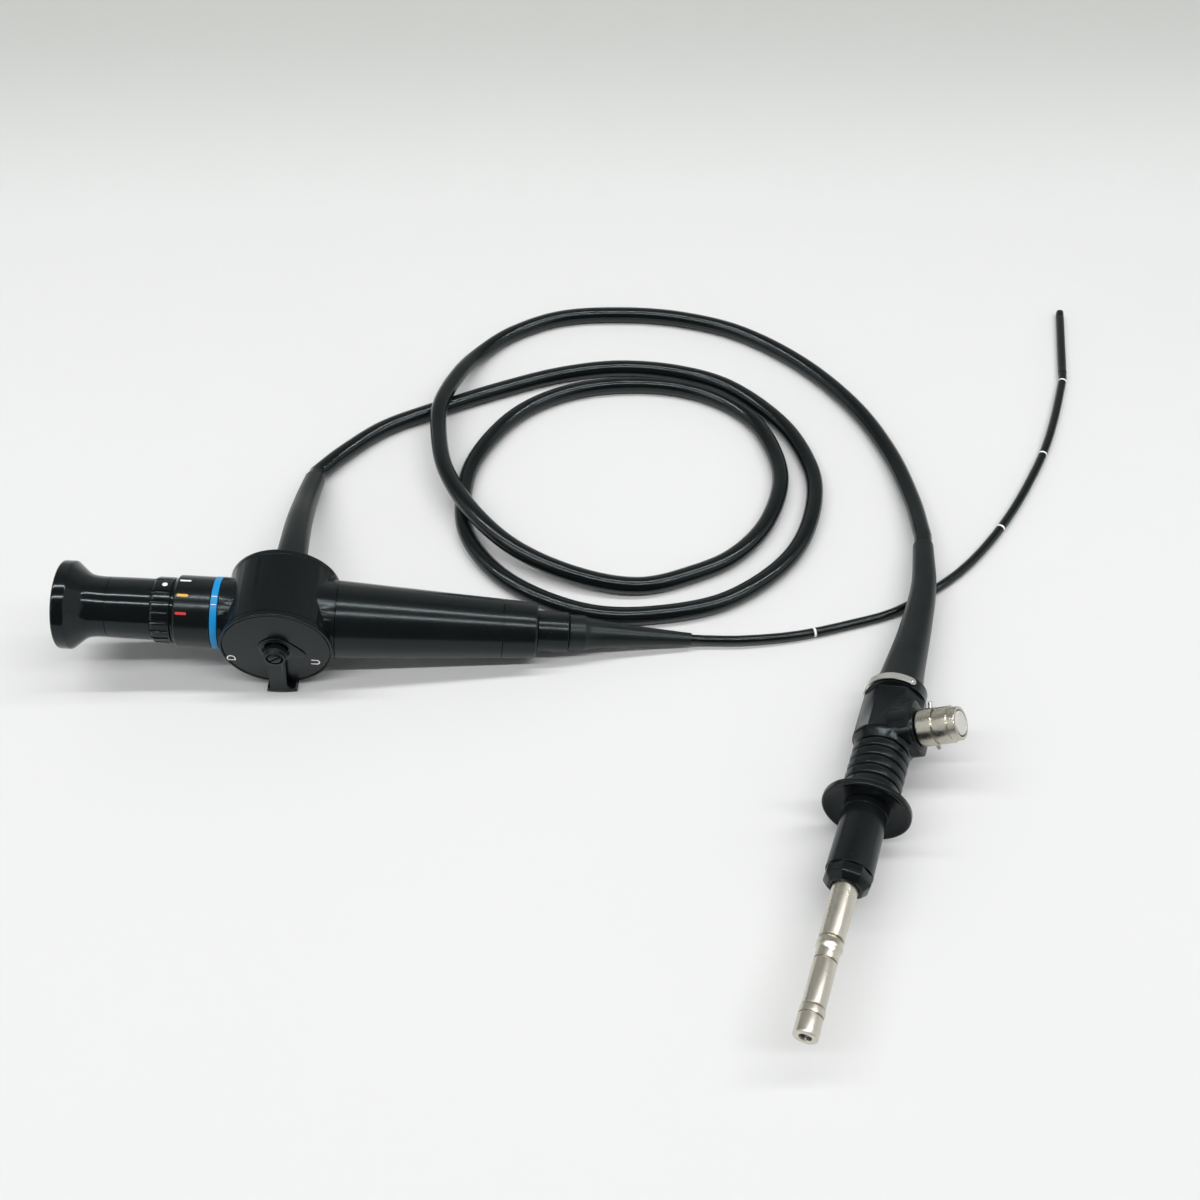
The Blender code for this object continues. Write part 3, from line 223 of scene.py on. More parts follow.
class Shade(Nodes):
    """A material."""

    def __init__(self, name):
        self.material = bpy.data.materials.new(name)
        super().__init__(self.material)
        self.surface = self.tree.nodes["Principled BSDF"]
        self.place = self.node("ShaderNodeTexCoord", {}, {}, "Object")

    def noise(self, scale, detail, rough=0.55, place=None):
        """Cloudy noise with so many features to the millimetre."""
        return self.node("ShaderNodeTexNoise", {}, {"Vector": place or self.place, "Scale": scale / MM,
                                                    "Detail": detail, "Roughness": rough})

    def between(self, amount, low, high):
        """A colour between two colours."""
        return self.node("ShaderNodeMix", {"data_type": "RGBA"}, {0: amount, 6: low, 7: high}, 2)

    def along(self, axis_frame, stretch):
        """Place measured mostly along an axis, so that noise on it becomes rings."""
        turned = self.node("ShaderNodeMapping", {"vector_type": "TEXTURE"},
                           {"Vector": self.place, "Location": axis_frame.translation * MM,
                            "Rotation": axis_frame.to_euler()})
        return self.node("ShaderNodeVectorMath", {"operation": "MULTIPLY"}, {0: turned, 1: stretch})

    def bump(self, height, depth, strength):
        """A relief of that depth in millimetres."""
        return self.node("ShaderNodeBump", {},
                         {"Height": height, "Distance": depth * MM, "Strength": strength})

    def set(self, **values):
        for key, value in values.items():
            self.feed(self.surface.inputs[key.replace("_", " ")], value)
        return self.material


# Tint of the reflections on black plastic and rubber
COLD = (0.86, 0.98, 1.0)


def scaled(base, by):
    """A colour made darker or lighter."""
    return tuple(min(1.0, c * by) for c in base)


def plastic_finish(name, base, roughness, grain):
    """Black plastic: a faint grain, cloudy handling marks and a few dust specks."""
    shade = Shade(name)
    cloud = shade.noise(0.07, 4)
    fine = shade.noise(grain, 2)
    handled = shade.noise(0.5, 5, 0.7)
    dust = shade.step(shade.noise(1.7, 1), 0.77, 0.84)
    tone = shade.between(cloud, scaled(base, 0.75), scaled(base, 1.6))
    return shade.set(
        Base_Color=shade.between(dust * 0.25, tone, (0.16, 0.17, 0.17)),
        Roughness=roughness + (cloud - 0.5) * 0.08 + (handled - 0.5) * 0.05 + dust * 0.2,
        Normal=shade.bump(fine, 0.005, 0.35), Specular_IOR_Level=0.30, Specular_Tint=COLD)


def rubber_finish(name, base):
    """Dull moulded rubber with a soft bloom."""
    shade = Shade(name)
    cloud = shade.noise(0.11, 5, 0.6)
    fine = shade.noise(3.5, 3)
    return shade.set(
        Base_Color=shade.between(cloud, scaled(base, 0.7), scaled(base, 1.9)),
        Roughness=0.33 + (cloud - 0.5) * 0.12 + (fine - 0.5) * 0.1,
        Normal=shade.bump(fine, 0.012, 0.4), Specular_IOR_Level=0.32, Specular_Tint=COLD)


def skin_finish(name, base, grain, depth):
    """Glossy cord skin with a fine leathery grain that breaks up its highlight."""
    shade = Shade(name)
    pebble = shade.node("ShaderNodeTexVoronoi", {"feature": "SMOOTH_F1"},
                        {"Vector": shade.place, "Scale": grain / MM, "Smoothness": 0.6, "Randomness": 1.0})
    fine = shade.noise(grain * 1.3, 4, 0.65)
    cloud = shade.noise(0.05, 3)
    return shade.set(
        Base_Color=shade.between(cloud, scaled(base, 0.8), scaled(base, 1.5)),
        Roughness=0.13 + (fine - 0.5) * 0.12 + (cloud - 0.5) * 0.05,
        Normal=shade.bump(fine + pebble * 0.7, depth, 0.8),
        Coat_Weight=0.15, Coat_Roughness=0.07, Specular_IOR_Level=0.32, Specular_Tint=COLD)


def metal_finish(name, base, roughness, axis_frame, ring_depth, worn=0.5):
    """Plated or turned metal: fine rings round its axis, dull patches and a little tarnish."""
    shade = Shade(name)
    rings = shade.noise(9.0, 3, 0.6, shade.along(axis_frame, (1.0, 0.02, 0.02)))
    cloud = shade.noise(0.16, 4, 0.6)
    spots = shade.step(shade.noise(1.1, 4, 0.7), 0.55, 0.75)
    tone = shade.between(cloud * worn, base, scaled(base, 0.62))
    return shade.set(
        Base_Color=shade.between(spots * 0.35 * worn, tone, (0.30, 0.26, 0.20)),
        Roughness=roughness + (cloud - 0.5) * 0.16 + spots * 0.10 + (rings - 0.5) * 0.12,
        Metallic=1.0,
        Normal=shade.bump(rings, ring_depth, 0.6))


def glass_finish(name):
    """Coated lens glass over a dark inside."""
    shade = Shade(name)
    cloud = shade.noise(0.12, 2)
    return shade.set(Base_Color=shade.between(cloud, (0.010, 0.014, 0.022), (0.020, 0.030, 0.034)),
                     Roughness=0.05 + cloud * 0.04, Coat_Weight=1.0, Coat_Roughness=0.03)


def print_finish(name, base):
    """Printed or inlaid paint, slightly uneven."""
    shade = Shade(name)
    patchy = shade.noise(2.5, 4, 0.7)
    return shade.set(Base_Color=shade.between(shade.step(patchy, 0.35, 0.75), base, scaled(base, 0.78)),
                     Roughness=0.45 + (patchy - 0.5) * 0.2, Normal=shade.bump(patchy, 0.01, 0.3))


def fibre_finish(name):
    """Bundle of fibres in a thin woven sheath."""
    shade = Shade(name)
    weave = shade.noise(2.2, 2)
    return shade.set(Base_Color=shade.between(weave, (0.22, 0.20, 0.16), (0.42, 0.39, 0.32)),
                     Roughness=0.55 + weave * 0.2, Normal=shade.bump(weave, 0.05, 0.6))


# Finishes by name, filled in by mix_finishes, and the slots of the pieces that wear them
LOOKS = {}
SLOTS = {"satin": "satin_black", "gloss": "satin_black", "grip": "satin_black", "rubber": "rubber",
         "sheath": "rubber", "ring": "blue_ring", "nickel": "nickel", "vent": "nickel", "steel": "steel",
         "band": "steel", "glass": "glass", "nylon": "white_nylon"}


def mix_finishes(colours):
    """All finishes of the endoscope, by name."""
    LOOKS["satin"] = plastic_finish("satin black plastic", colours.plastic, 0.22, 3.5)
    LOOKS["gloss"] = plastic_finish("glossy black plastic", colours.plastic, 0.12, 7.0)
    LOOKS["grip"] = plastic_finish("grip plastic", scaled(colours.plastic, 1.1), 0.20, 3.5)
    LOOKS["rubber"] = rubber_finish("boot rubber", colours.rubber)
    LOOKS["skin"] = skin_finish("cord skin", colours.skin, 1.6, 0.045)
    LOOKS["tube"] = skin_finish("tube skin", colours.skin, 2.4, 0.02)
    LOOKS["sheath"] = rubber_finish("bending section rubber", scaled(colours.rubber, 0.9))
    LOOKS["ring"] = plastic_finish("blue plastic", colours.ring, 0.34, 5.0)
    LOOKS["nickel"] = metal_finish("nickel plate", colours.nickel, 0.30, CONNECTOR, 0.006)
    LOOKS["vent"] = metal_finish("nickel plate of the vent", scaled(colours.nickel, 0.88), 0.27,
                                 VENT @ rotation(90, "Z"), 0.006)
    LOOKS["steel"] = metal_finish("stainless steel", colours.steel, 0.30, BODY, 0.003, 0.3)
    # Painted light: the band wears a lighter copy of the steel, for the light its upper side catches; the
    # rivet and screw keep the plain steel
    LOOKS["band"] = metal_finish("band steel lightened as painted light", (0.76, 0.75, 0.72), 0.36, CONNECTOR, 0.002, 0.2)
    LOOKS["brass"] = metal_finish("brass", (0.62, 0.42, 0.16), 0.3, BODY, 0.004, 0.4)
    LOOKS["glass"] = glass_finish("coated glass")
    LOOKS["nylon"] = print_finish("white nylon", (0.62, 0.62, 0.57))
    LOOKS["white"] = print_finish("white print", colours.print)
    LOOKS["yellow"] = print_finish("yellow inlay", (0.80, 0.42, 0.02))
    LOOKS["red"] = print_finish("red inlay", (0.55, 0.035, 0.03))
    LOOKS["fibre"] = fibre_finish("fibre sheath")


# Modelling with operators

def only(made):
    """Selects one object alone and makes it the active one."""
    bpy.ops.object.select_all(action="DESELECT")
    bpy.context.view_layer.objects.active = made
    made.select_set(True)


def start(kind, **place):
    """Adds a primitive with nothing else selected, and opens it for editing."""
    bpy.ops.object.select_all(action="DESELECT")
    getattr(bpy.ops.mesh, f"primitive_{kind}_add")(**place)
    made = bpy.context.object
    bpy.ops.object.mode_set(mode="EDIT")
    return made


def grid(across, along):
    """A flat grid, one unit each way, for vertices that are then moved one by one."""
    made = start("grid", x_subdivisions=across, y_subdivisions=along, size=1)
    bpy.ops.object.mode_set(mode="OBJECT")
    return made


def copied(made, place):
    """A copy with its own mesh, moved by a matrix."""
    other = made.copy()
    other.data = made.data.copy()
    other.data.transform(place)
    bpy.context.scene.collection.objects.link(other)
    return other


def close(made):
    """Leaves edit mode with doubles merged and all faces pointing out."""
    if bpy.context.mode != "EDIT_MESH":
        bpy.ops.object.mode_set(mode="EDIT")
    bpy.ops.mesh.select_mode(type="VERT")
    bpy.ops.mesh.select_all(action="SELECT")
    bpy.ops.mesh.remove_doubles(threshold=MERGE)
    bpy.ops.mesh.normals_make_consistent(inside=False)
    bpy.ops.object.mode_set(mode="OBJECT")
    return made


def apply_all(made):
    only(made)
    for modifier in list(made.modifiers):
        bpy.ops.object.modifier_apply(modifier=modifier.name)


def boolean(made, operation, other):
    """Shapes a piece by another one, which is used up."""
    change = made.modifiers.new("shape", "BOOLEAN")
    change.operation = operation
    change.solver = "EXACT"
    change.object = other
    apply_all(made)
    bpy.data.objects.remove(other)


def join(made, other):
    boolean(made, "UNION", other)


def cut(made, other):
    boolean(made, "DIFFERENCE", other)


def thicken(made, depth, side):
    """Makes a sheet solid, on its outside for 1 and on its inside for -1."""
    change = made.modifiers.new("gauge", "SOLIDIFY")
    change.thickness = depth
    change.offset = side
    apply_all(made)
    return close(made)


def bevel(made, width, segments, angle=30):
    """Rounds all edges sharper than an angle."""
    change = made.modifiers.new("edges", "BEVEL")
    change.width = width
    change.segments = segments
    change.limit_method = "ANGLE"
    change.angle_limit = math.radians(angle)
    apply_all(made)


def put(made, name, place, look, node=None, body="control_body", angle=30, slot=None):
    """Finishes a piece: place, metres, finish, smooth shading, body, and the solid it stands for."""
    made.name = name
    made.data.name = name
    made.data.transform(Matrix.Scale(MM, 4) @ place @ made.matrix_basis)
    made.matrix_basis = AS_MADE
    made.data.materials.append(LOOKS[look])
    only(made)
    bpy.ops.object.shade_smooth_by_angle(angle=math.radians(angle))
    slot = slot or SLOTS.get(look)
    if body:
        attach(made, body)
    if node:
        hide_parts(node)
    return made


def rounded(profile, ring):
    """A profile of (along, radius, rounding) points as (along, radius) points with rounded corners."""
    points = [(Vector(p[:2]), p[2] if len(p) > 2 else 0) for p in profile]
    out = []
    steps = 5
    for i, (here, rounding) in enumerate(points):
        inside = ring or 0 < i < len(points) - 1
        if not rounding or not inside:
            out.append(here)
            continue
        before = points[i - 1][0] - here
        after = points[(i + 1) % len(points)][0] - here
        reach = min(rounding, before.length * 0.49, after.length * 0.49)
        a = here + before.normalized() * reach
        b = here + after.normalized() * reach
        for k in range(steps + 1):
            t = k / steps
            out.append(a * (1 - t) ** 2 + here * 2 * t * (1 - t) + b * t ** 2)
    return out


def turn(profile, segments, axis="X"):
    """Turns a profile round an axis: extruded point by point, then spun."""
    ring = profile[0][1] > 0
    points = rounded(profile, ring)
    if ring:
        points.append(points[0])
    made = start("plane", size=1)
    bpy.ops.mesh.select_all(action="SELECT")
    bpy.ops.mesh.merge(type="CENTER")
    bpy.ops.transform.translate(value=(points[0].x, points[0].y, 0))
    for before, here in zip(points, points[1:]):
        step = here - before
        bpy.ops.mesh.extrude_region_move(TRANSFORM_OT_translate={"value": (step.x, step.y, 0)})
    bpy.ops.mesh.select_all(action="SELECT")
    bpy.ops.mesh.remove_doubles(threshold=MERGE)
    bpy.ops.mesh.select_all(action="SELECT")
    bpy.ops.mesh.spin(steps=segments, angle=math.tau, center=(0, 0, 0), axis=(1, 0, 0))
    close(made)
    if axis == "Y":
        made.data.transform(rotation(90, "Z"))
    elif axis == "Z":
        made.data.transform(rotation(-90, "Y"))
    return made


def bar(start_at, end_at, radius, segments, axis="X"):
    """A plain round bar, for joining and cutting."""
    return turn([(start_at, 0), (start_at, radius), (end_at, radius), (end_at, 0)], segments, axis)


def plate(outline, low, high):
    """A flat plate in the XZ plane with an outline of (x, z) points, from one Y to another."""
    made = start("circle", vertices=len(outline), radius=1, fill_type="NGON")
    bpy.ops.object.mode_set(mode="OBJECT")
    for vertex, (x, z) in zip(made.data.vertices, outline):
        vertex.co = (x, low, z)
    bpy.ops.object.mode_set(mode="EDIT")
    bpy.ops.mesh.select_all(action="SELECT")
    bpy.ops.mesh.extrude_region_move(TRANSFORM_OT_translate={"value": (0, high - low, 0)})
    return close(made)


def arc(radius, first, last, steps, centre=(0, 0)):
    """Points on a circle, from one angle in degrees to another."""
    angles = [math.radians(first + (last - first) * i / steps) for i in range(steps + 1)]
    return [(centre[0] + radius * math.cos(a), centre[1] + radius * math.sin(a)) for a in angles]


def smooth_line(points):
    """Points at about equal steps along a smooth curve through the given ones."""
    parts = 24
    knots = [2 * Vector(points[0]) - Vector(points[1]), *map(Vector, points),
             2 * Vector(points[-1]) - Vector(points[-2])]
    fine = []
    for a, b, c, d in zip(knots, knots[1:], knots[2:], knots[3:]):
        for i in range(parts):
            t = i / parts
            fine.append(0.5 * (2 * b + (c - a) * t + (2 * a - 5 * b + 4 * c - d) * t ** 2
                               + (3 * b - 3 * c + d - a) * t ** 3))
    fine.append(knots[-2])
    travelled = [0.0]
    for near, far in zip(fine, fine[1:]):
        travelled.append(travelled[-1] + (far - near).length)
    count = max(2, round(travelled[-1] / ROUTE_STEP))
    even, at = [], 0
    for i in range(count + 1):
        target = travelled[-1] * i / count
        while at < len(fine) - 2 and travelled[at + 1] < target:
            at += 1
        share = (target - travelled[at]) / max(travelled[at + 1] - travelled[at], 1e-9)
        even.append(fine[at].lerp(fine[at + 1], min(max(share, 0), 1)))
    return even


def line_length(points):
    return sum((b - a).length for a, b in zip(points, points[1:]))


def tube(name, points, radii, resolution):
    """A curve with a round bevel, its radius changing from point to point."""
    curve = bpy.data.curves.new(name, "CURVE")
    curve.dimensions = "3D"
    curve.bevel_depth = MM
    curve.bevel_resolution = resolution
    curve.use_fill_caps = True
    spline = curve.splines.new("POLY")
    spline.points.add(len(points) - 1)
    for knot, point, radius in zip(spline.points, points, radii):
        knot.co = (*((FOOT + point) * MM), 1)
        knot.radius = radius
    made = bpy.data.objects.new(name, curve)
    bpy.context.scene.collection.objects.link(made)
    return made


def as_mesh(made):
    """Turns a curve in metres into a mesh in millimetres, for further shaping."""
    only(made)
    bpy.ops.object.convert(target="MESH")
    made = bpy.context.object
    made.data.transform(Matrix.Scale(1 / MM, 4))
    return made


# The pieces

def build_eyecup(sizes):
    r = sizes.eyecup_radius
    neck = sizes.barrel_radius - 0.2
    profile = [(-76.9, 13.2, 0.5), (-76.9, r, 1.0), (-72.5, r, 0.5), (-70.4, r - 1.9, 0.6),
               (-67.3, neck + 0.45, 1.8), (-63.5, neck, 1.0), (-60.0, neck, 0.15), (-60.0, 8.4), (-68.9, 8.4),
               (-68.9, 9.9), (-70.7, 9.9, 0.2), (-75.7, 12.6, 0.6)]
    put(turn(profile, 128), "eyecup_cup", BODY, "gloss", "eyecup", slot="gloss_black")
    window = [(-70.4, 0), (-70.4, 9.2, 0.2), (-69.2, 9.6), (-69.2, 0)]
    put(turn(window, 64), "eyepiece_glass", BODY, "glass", "eyepiece_window")


def build_barrel(sizes):
    r = sizes.barrel_radius
    profile = [(-68.6, 6.6), (-68.6, 8.0), (-59.85, 8.0), (-59.85, r - 0.15, 0.15), (-54.5, r - 0.05, 0.2),
               (-44.5, r, 0.2), (-44.5, 8.4), (-14.0, 8.4), (-14.0, 6.6)]
    put(turn(profile, 128), "barrel_tube", BODY, "gloss", "eyepiece_barrel")


def build_diopter_ring(sizes):
    """Round grooves along the ring, cut as by a ball cutter, with one left out for the dot."""
    r = sizes.diopter_radius
    low, high = -44.3, -36.7
    profile = [(low, 8.7), (low, r - 0.5, 0.2), (low + 0.9, r, 0.25), (high - 1.0, r, 0.2),
               (high - 0.7, r - 0.7, 0.1), (high, r - 0.7), (high, 8.7)]
    made = turn(profile, 160)
    cutter = turn([(low - 1, 0), (low - 1, 0.85), (high - 1.6, 0.85, 0.6), (high - 1.3, 0)], 20)
    cutter.data.transform(Matrix.Translation((0, 0, r + 0.2)))
    places = 20
    cutters = [copied(cutter, Matrix.Rotation(math.tau * k / places + DOT_TURN, 4, "X"))
               for k in range(1, places)]
    bpy.data.objects.remove(cutter)
    only(cutters[0])
    for other in cutters[1:]:
        other.select_set(True)
    bpy.ops.object.join()
    cut(made, cutters[0])
    put(made, "diopter_knurl", BODY, "gloss", "diopter_ring", "diopter", 35)
    dot = turn([(0, 0), (0, 0.95), (0.06, 0.95, 0.04), (0.06, 0)], 32, "Z")
    stand = BODY @ Matrix.Rotation(DOT_TURN, 4, "X") @ Matrix.Translation((low + 4.1, 0, r - 0.01))
    put(dot, "diopter_dot", stand, "white", body="diopter")


def build_index_ring(sizes):
    r = sizes.index_radius
    low, high = -36.45, -23.55
    profile = [(low, 8.7), (low, r - 0.75, 0.2), (low + 0.7, r, 0.3), (high, r, 0.15), (high, 8.7)]
    put(turn(profile, 160), "index_sleeve", BODY, "satin", "index_ring")
    for name, look, turn_by in (("index_bar_white", "white", -18.5), ("index_bar_yellow", "yellow", 12.8),
                                ("index_bar_red", "red", 42.2)):
        mark = curved_patch(r + 0.02, low + 1.3, low + 5.2, 1.0)
        put(mark, name, BODY @ rotation(turn_by), look)


def curved_patch(radius, low, high, width, corner=0.25):
    """A thin printed bar on top of a ring, its corners rounded."""
    made = grid(10, 6)
    for vertex in made.data.vertices:
        x = low + (high - low) * (vertex.co.x + 0.5)
        end = min(x - low, high - x)
        narrow = corner - math.sqrt(max(corner ** 2 - max(corner - end, 0) ** 2, 0))
        across = (width - 2 * narrow) * vertex.co.y / radius
        vertex.co = (x, radius * math.sin(across), radius * math.cos(across))
    return thicken(made, 0.05, -1)


def build_blue_ring(sizes):
    r = sizes.neck_radius
    profile = [(-23.3, 8.7), (-23.3, r, 0.2), (-20.9, r, 0.2), (-20.9, 8.7)]
    put(turn(profile, 160), "blue_band", BODY, "ring", "blue_ring")
    for name, turn_by in (("blue_tick_upper", 12), ("blue_tick_lower", 25.5)):
        mark = curved_patch(r + 0.02, -23.1, -21.1, 0.22, 0.1)
        put(mark, name, BODY @ rotation(turn_by), "white")


def build_housing(sizes):
    """Drum with two necks, their joints rounded, bored for the eyepiece and the grip."""
    r, neck = sizes.drum_radius, sizes.neck_radius
    drum = bar(-12.97, 12.97, r, 160, "Y")
    join(drum, bar(-20.6, 0, neck, 128))
    join(drum, turn([(0, 0), (0, 15.5), (20.2, 14.4), (20.2, 0)], 128))
    cut(drum, bar(-16, 16, r - 2.4, 96, "Y"))
    cut(drum, bar(-23, 0, 8.7, 64))
    cut(drum, bar(0, 22, 12.6, 64))
    bevel(drum, 0.3, 2, 40)
    put(drum, "drum_housing", BODY, "satin", "housing", angle=40)


def build_covers(sizes):
    """The face under the lever has a raised cam plate; the far one is plain."""
    r = sizes.drum_radius
    profile = [(-15.0, 4.2), (-15.0, r - 1.2, 0.1), (-14.2, r - 1.15), (-14.2, r - 0.85),
               (-15.1, r - 0.8, 0.05), (-15.1, r, 0.75), (-13.06, r, 0.25), (-13.06, r - 2.7),
               (-11.8, r - 2.7), (-11.8, r - 4.1), (-13.06, r - 4.1), (-13.06, 4.2)]
    near = turn(profile, 160, "Y")
    put(near, "lever_face", BODY, "satin", "lever_side_cover")
    ring = turn([(-15.7, 4.7, 0.2), (-15.7, 5.5, 0.3), (-15.3, 6.0, 0.2), (-14.95, 6.0), (-14.95, 4.7)],
                96, "Y")
    outline = arc(6.5, 40, 300, 40) + [(5.4, -4.6), (9.4, -3.4), (10.4, -2.2), (9.6, -0.6), (7.6, 1.6)]
    raised = plate(outline, -15.4, -14.95)
    cut(raised, bar(-17, -13, 5.2, 64, "Y"))
    join(raised, ring)
    bevel(raised, 0.12, 2)
    put(raised, "cam_plate", BODY, "satin")
    profile[0] = (-15.0, 2.1)
    profile[-1] = (-13.06, 2.1)
    far = turn(profile, 160, "Y")
    put(far, "cord_face", BODY @ rotation(180, "Z"), "satin", "cord_side_cover")
    for name, letter, x, z in (("letter_down", "D", -16.1, -6.6), ("letter_up", "U", 13.8, -6.6)):
        build_letter(name, letter, x, z)


def build_letter(name, letter, x, z):
    """A printed letter on the drum's face, turned a quarter as the lever's marks are."""
    bpy.ops.object.select_all(action="DESELECT")
    bpy.ops.object.text_add()
    made = bpy.context.object
    made.data.body = letter
    made.data.size = 4.5
    made.data.align_x = "CENTER"
    made.data.align_y = "CENTER"
    made.data.extrude = 0.025
    made.data.offset = 0.03
    bpy.ops.object.convert(target="MESH")
    made = bpy.context.object
    stand = Matrix.Translation((x, -15.02, z)) @ rotation(90)
    put(made, name, BODY @ stand @ rotation(90, "Z"), "white")


def build_lever(sizes):
    """Hub, arm and curved thumb pad in one, with the slotted screw. The pad's rim stands on the table."""
    rim = DRUM.z
    hub = turn([(-19.5, 0), (-19.5, 3.95, 0.55), (-18.4, 3.95, 0.15), (-18.1, 4.3, 0.2),
                (-15.9, 4.3, 0.2), (-15.9, 0)], 96, "Y")
    half = 3.15
    arm = plate([(-half, 1.0), (half, 1.0), (half, -12), (half * 0.97, -rim + 1.4),
                 (-half * 0.97, -rim + 1.4), (-half, -12)], -17.9, -16.2)
    join(hub, arm)
    first, last = -87 - 14.2, -87 + 14.2
    pad = plate(arc(rim, first, last, 16) + arc(rim - 2.1, last, first, 16), -17.9, -11.4)
    join(hub, pad)
    fillet = plate([(half - 0.5, -rim + 5.6), (half + 0.4, -rim + 3.6), (half + 2.2, -rim + 1.8),
                    (half - 0.5, -rim + 1.4)], -17.8, -16.4)
    join(hub, fillet)
    cut(hub, bar(-20, -18.2, 3.05, 64, "Y"))
    cut(hub, bar(-18.5, -15, 2.3, 32, "Y"))
    bevel(hub, 0.28, 3)
    put(hub, "thumb_lever", BODY, "satin", "angulation_lever", "lever", 40)
    screw = turn([(-19.7, 0), (-19.7, 2.0, 0.3), (-19.3, 2.4, 0.2), (-18.5, 2.4), (-18.5, 0.9),
                  (-15, 0.9), (-15, 0)], 48, "Y")
    slot = plate([(-3, -0.32), (3, -0.32), (3, 0.32), (-3, 0.32)], -20.5, -19.0)
    cut(screw, slot)
    put(screw, "pivot_screw", BODY @ rotation(-38, "Y"), "satin", "lever_screw", "lever")


def grip_radius(along):
    """The grip's taper."""
    return 14.4 - 4.0 * (along - 20.2) / 73.1


def build_grip(sizes):
    shell = [(20.45, 12.6), (20.45, grip_radius(20.5), 0.12), (80.45, grip_radius(80.5), 0.12), (80.45, 9.3)]
    put(turn(shell, 128), "grip_cone", BODY, "grip", "grip_shell")
    nose = [(80.65, 9.2), (80.65, grip_radius(80.7), 0.12), (93.3, 10.4, 2.4), (93.3, 7.8, 0.3),
            (92.8, 7.7, 0.1), (92.8, 5.9), (90.3, 5.9), (90.3, 8.6)]
    put(turn(nose, 128), "grip_nose", BODY, "grip", "grip_end_ring")
    collar = [(89.6, 3.0), (89.6, 5.6), (93.2, 5.6), (93.2, 7.3, 0.2), (93.6, 7.55, 0.3), (104.7, 7.55, 0.3),
              (104.9, 7.2), (104.9, 3.0)]
    put(turn(collar, 96), "collar_ring", BODY, "satin", "boot_collar")
    cone = []
    steps = 21
    for i in range(steps + 1):
        share = i / steps
        cone.append((112.0 + 39.7 * share, 6.2 + (2.35 - 6.2) * share ** 0.69))
    boot = [(105.1, 0), (105.1, 6.4, 0.3), (105.5, 6.7, 0.4), (111.2, 6.7, 0.5), *cone, (TUBE_BOOT_END, 0)]
    put(turn(boot, 96), "tube_boot", BODY, "rubber", "insertion_boot")


def build_light_guide(sizes):
    """Nut and boot on the drum's far side, and the long cord."""
    nut = [(15.15, 3.5), (15.15, 7.8, 0.3), (17.3, 7.8, 0.6), (17.5, 6.6, 0.2), (17.5, 3.5)]
    put(turn(nut, 96, "Y"), "boot_collar_nut", Matrix.Translation(DRUM), "satin", "boot_nut")
    line = smooth_line(LIGHT_BOOT_ROUTE)
    last = len(line) - 1
    radii = [6.2 - 2.0 * (i / last) ** 0.9 for i in range(last + 1)]
    radii[0] -= 0.4
    boot = as_mesh(tube("light_guide_sleeve", line, radii, 14))
    put(boot, "light_guide_sleeve", AS_MADE, "rubber", "light_guide_boot")
    leave = (line[-1] - line[-2]).normalized()
    tail = connector_boot_line()
    arrive = (tail[1] - tail[0]).normalized()
    start_at, end_at = line[-1] + leave * 0.1, tail[0] - arrive * 0.1
    route = [start_at, *smooth_line([start_at + leave * 5, *CORD_ROUTE, end_at - arrive * 5]), end_at]
    made = tube("light_guide_cable", route, [sizes.cord_radius] * len(route), 7)
    return finish_cord(made, "skin", "light_guide_cord"), route


def finish_cord(made, look, node):
    """A cord stays a curve in metres, so that it can be laid anew."""
    made.data.materials.append(LOOKS[look])
    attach(made, "control_body")
    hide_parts(node)
    return made


def connector_boot_line():
    """Middle line of the boot, from the cord to the back of the connector."""
    ahead = (CONNECTOR.to_3x3() @ Vector((1, 0, 0))).normalized()
    mouth = CONNECTOR.translation - FOOT + ahead * (CONNECTOR_BACK - 0.3)
    return smooth_line([*CONNECTOR_BOOT_ROUTE, mouth - ahead * 8, mouth])


def build_connector_boot(sizes):
    line = connector_boot_line()
    last = len(line) - 1
    radii = [3.95 + 4.45 * (0.6 * i / last + 0.4 * (i / last) ** 3) for i in range(last + 1)]
    boot = as_mesh(tube("connector_sleeve", line, radii, 18))
    put(boot, "connector_sleeve", AS_MADE, "rubber", "connector_boot")


def build_insertion_tube(sizes):
    """The thin shaft, and the white rings that tell how deep it is."""
    axis = HEADING.normalized()
    mouth = DRUM - FOOT + axis * (TUBE_BOOT_END + 0.1)
    heading = Vector((math.cos(TIP_TURN), math.sin(TIP_TURN), 0))
    root = BEND.translation - FOOT
    last = root - heading * SHAFT_TO_BEND
    route = [mouth, *smooth_line([mouth + axis * 5, *TUBE_ROUTE, last - heading * 5]), last]
    made = finish_cord(tube("insertion_shaft", route, [sizes.tube_radius] * len(route), 6), "tube",
                       "insertion_tube")
    beyond = SHAFT_TO_BEND + LINK * (BENDS - 1) + LAST_BEND_TO_END
    rings = []
    for mark in (50, 100, 150, 200, 250):
        here, ahead = point_on(route, line_length(route) + beyond - mark)
        half = sizes.ring_mark / 2
        name = f"depth_ring_{mark}"
        band = tube(name, [here - ahead * half, here, here + ahead * half], [sizes.tube_radius + 0.05] * 3, 6)
        rings.append(put(as_mesh(band), name, AS_MADE, "white"))
    return made, route, rings


def point_on(route, target):
    """The point so far along a route, and the direction there."""
    travelled = 0
    for near, far in zip(route, route[1:]):
        step = (far - near).length
        if travelled + step >= target:
            ahead = (far - near).normalized()
            return near + ahead * (target - travelled), ahead
        travelled += step
    return route[-1], (route[-1] - route[-2]).normalized()


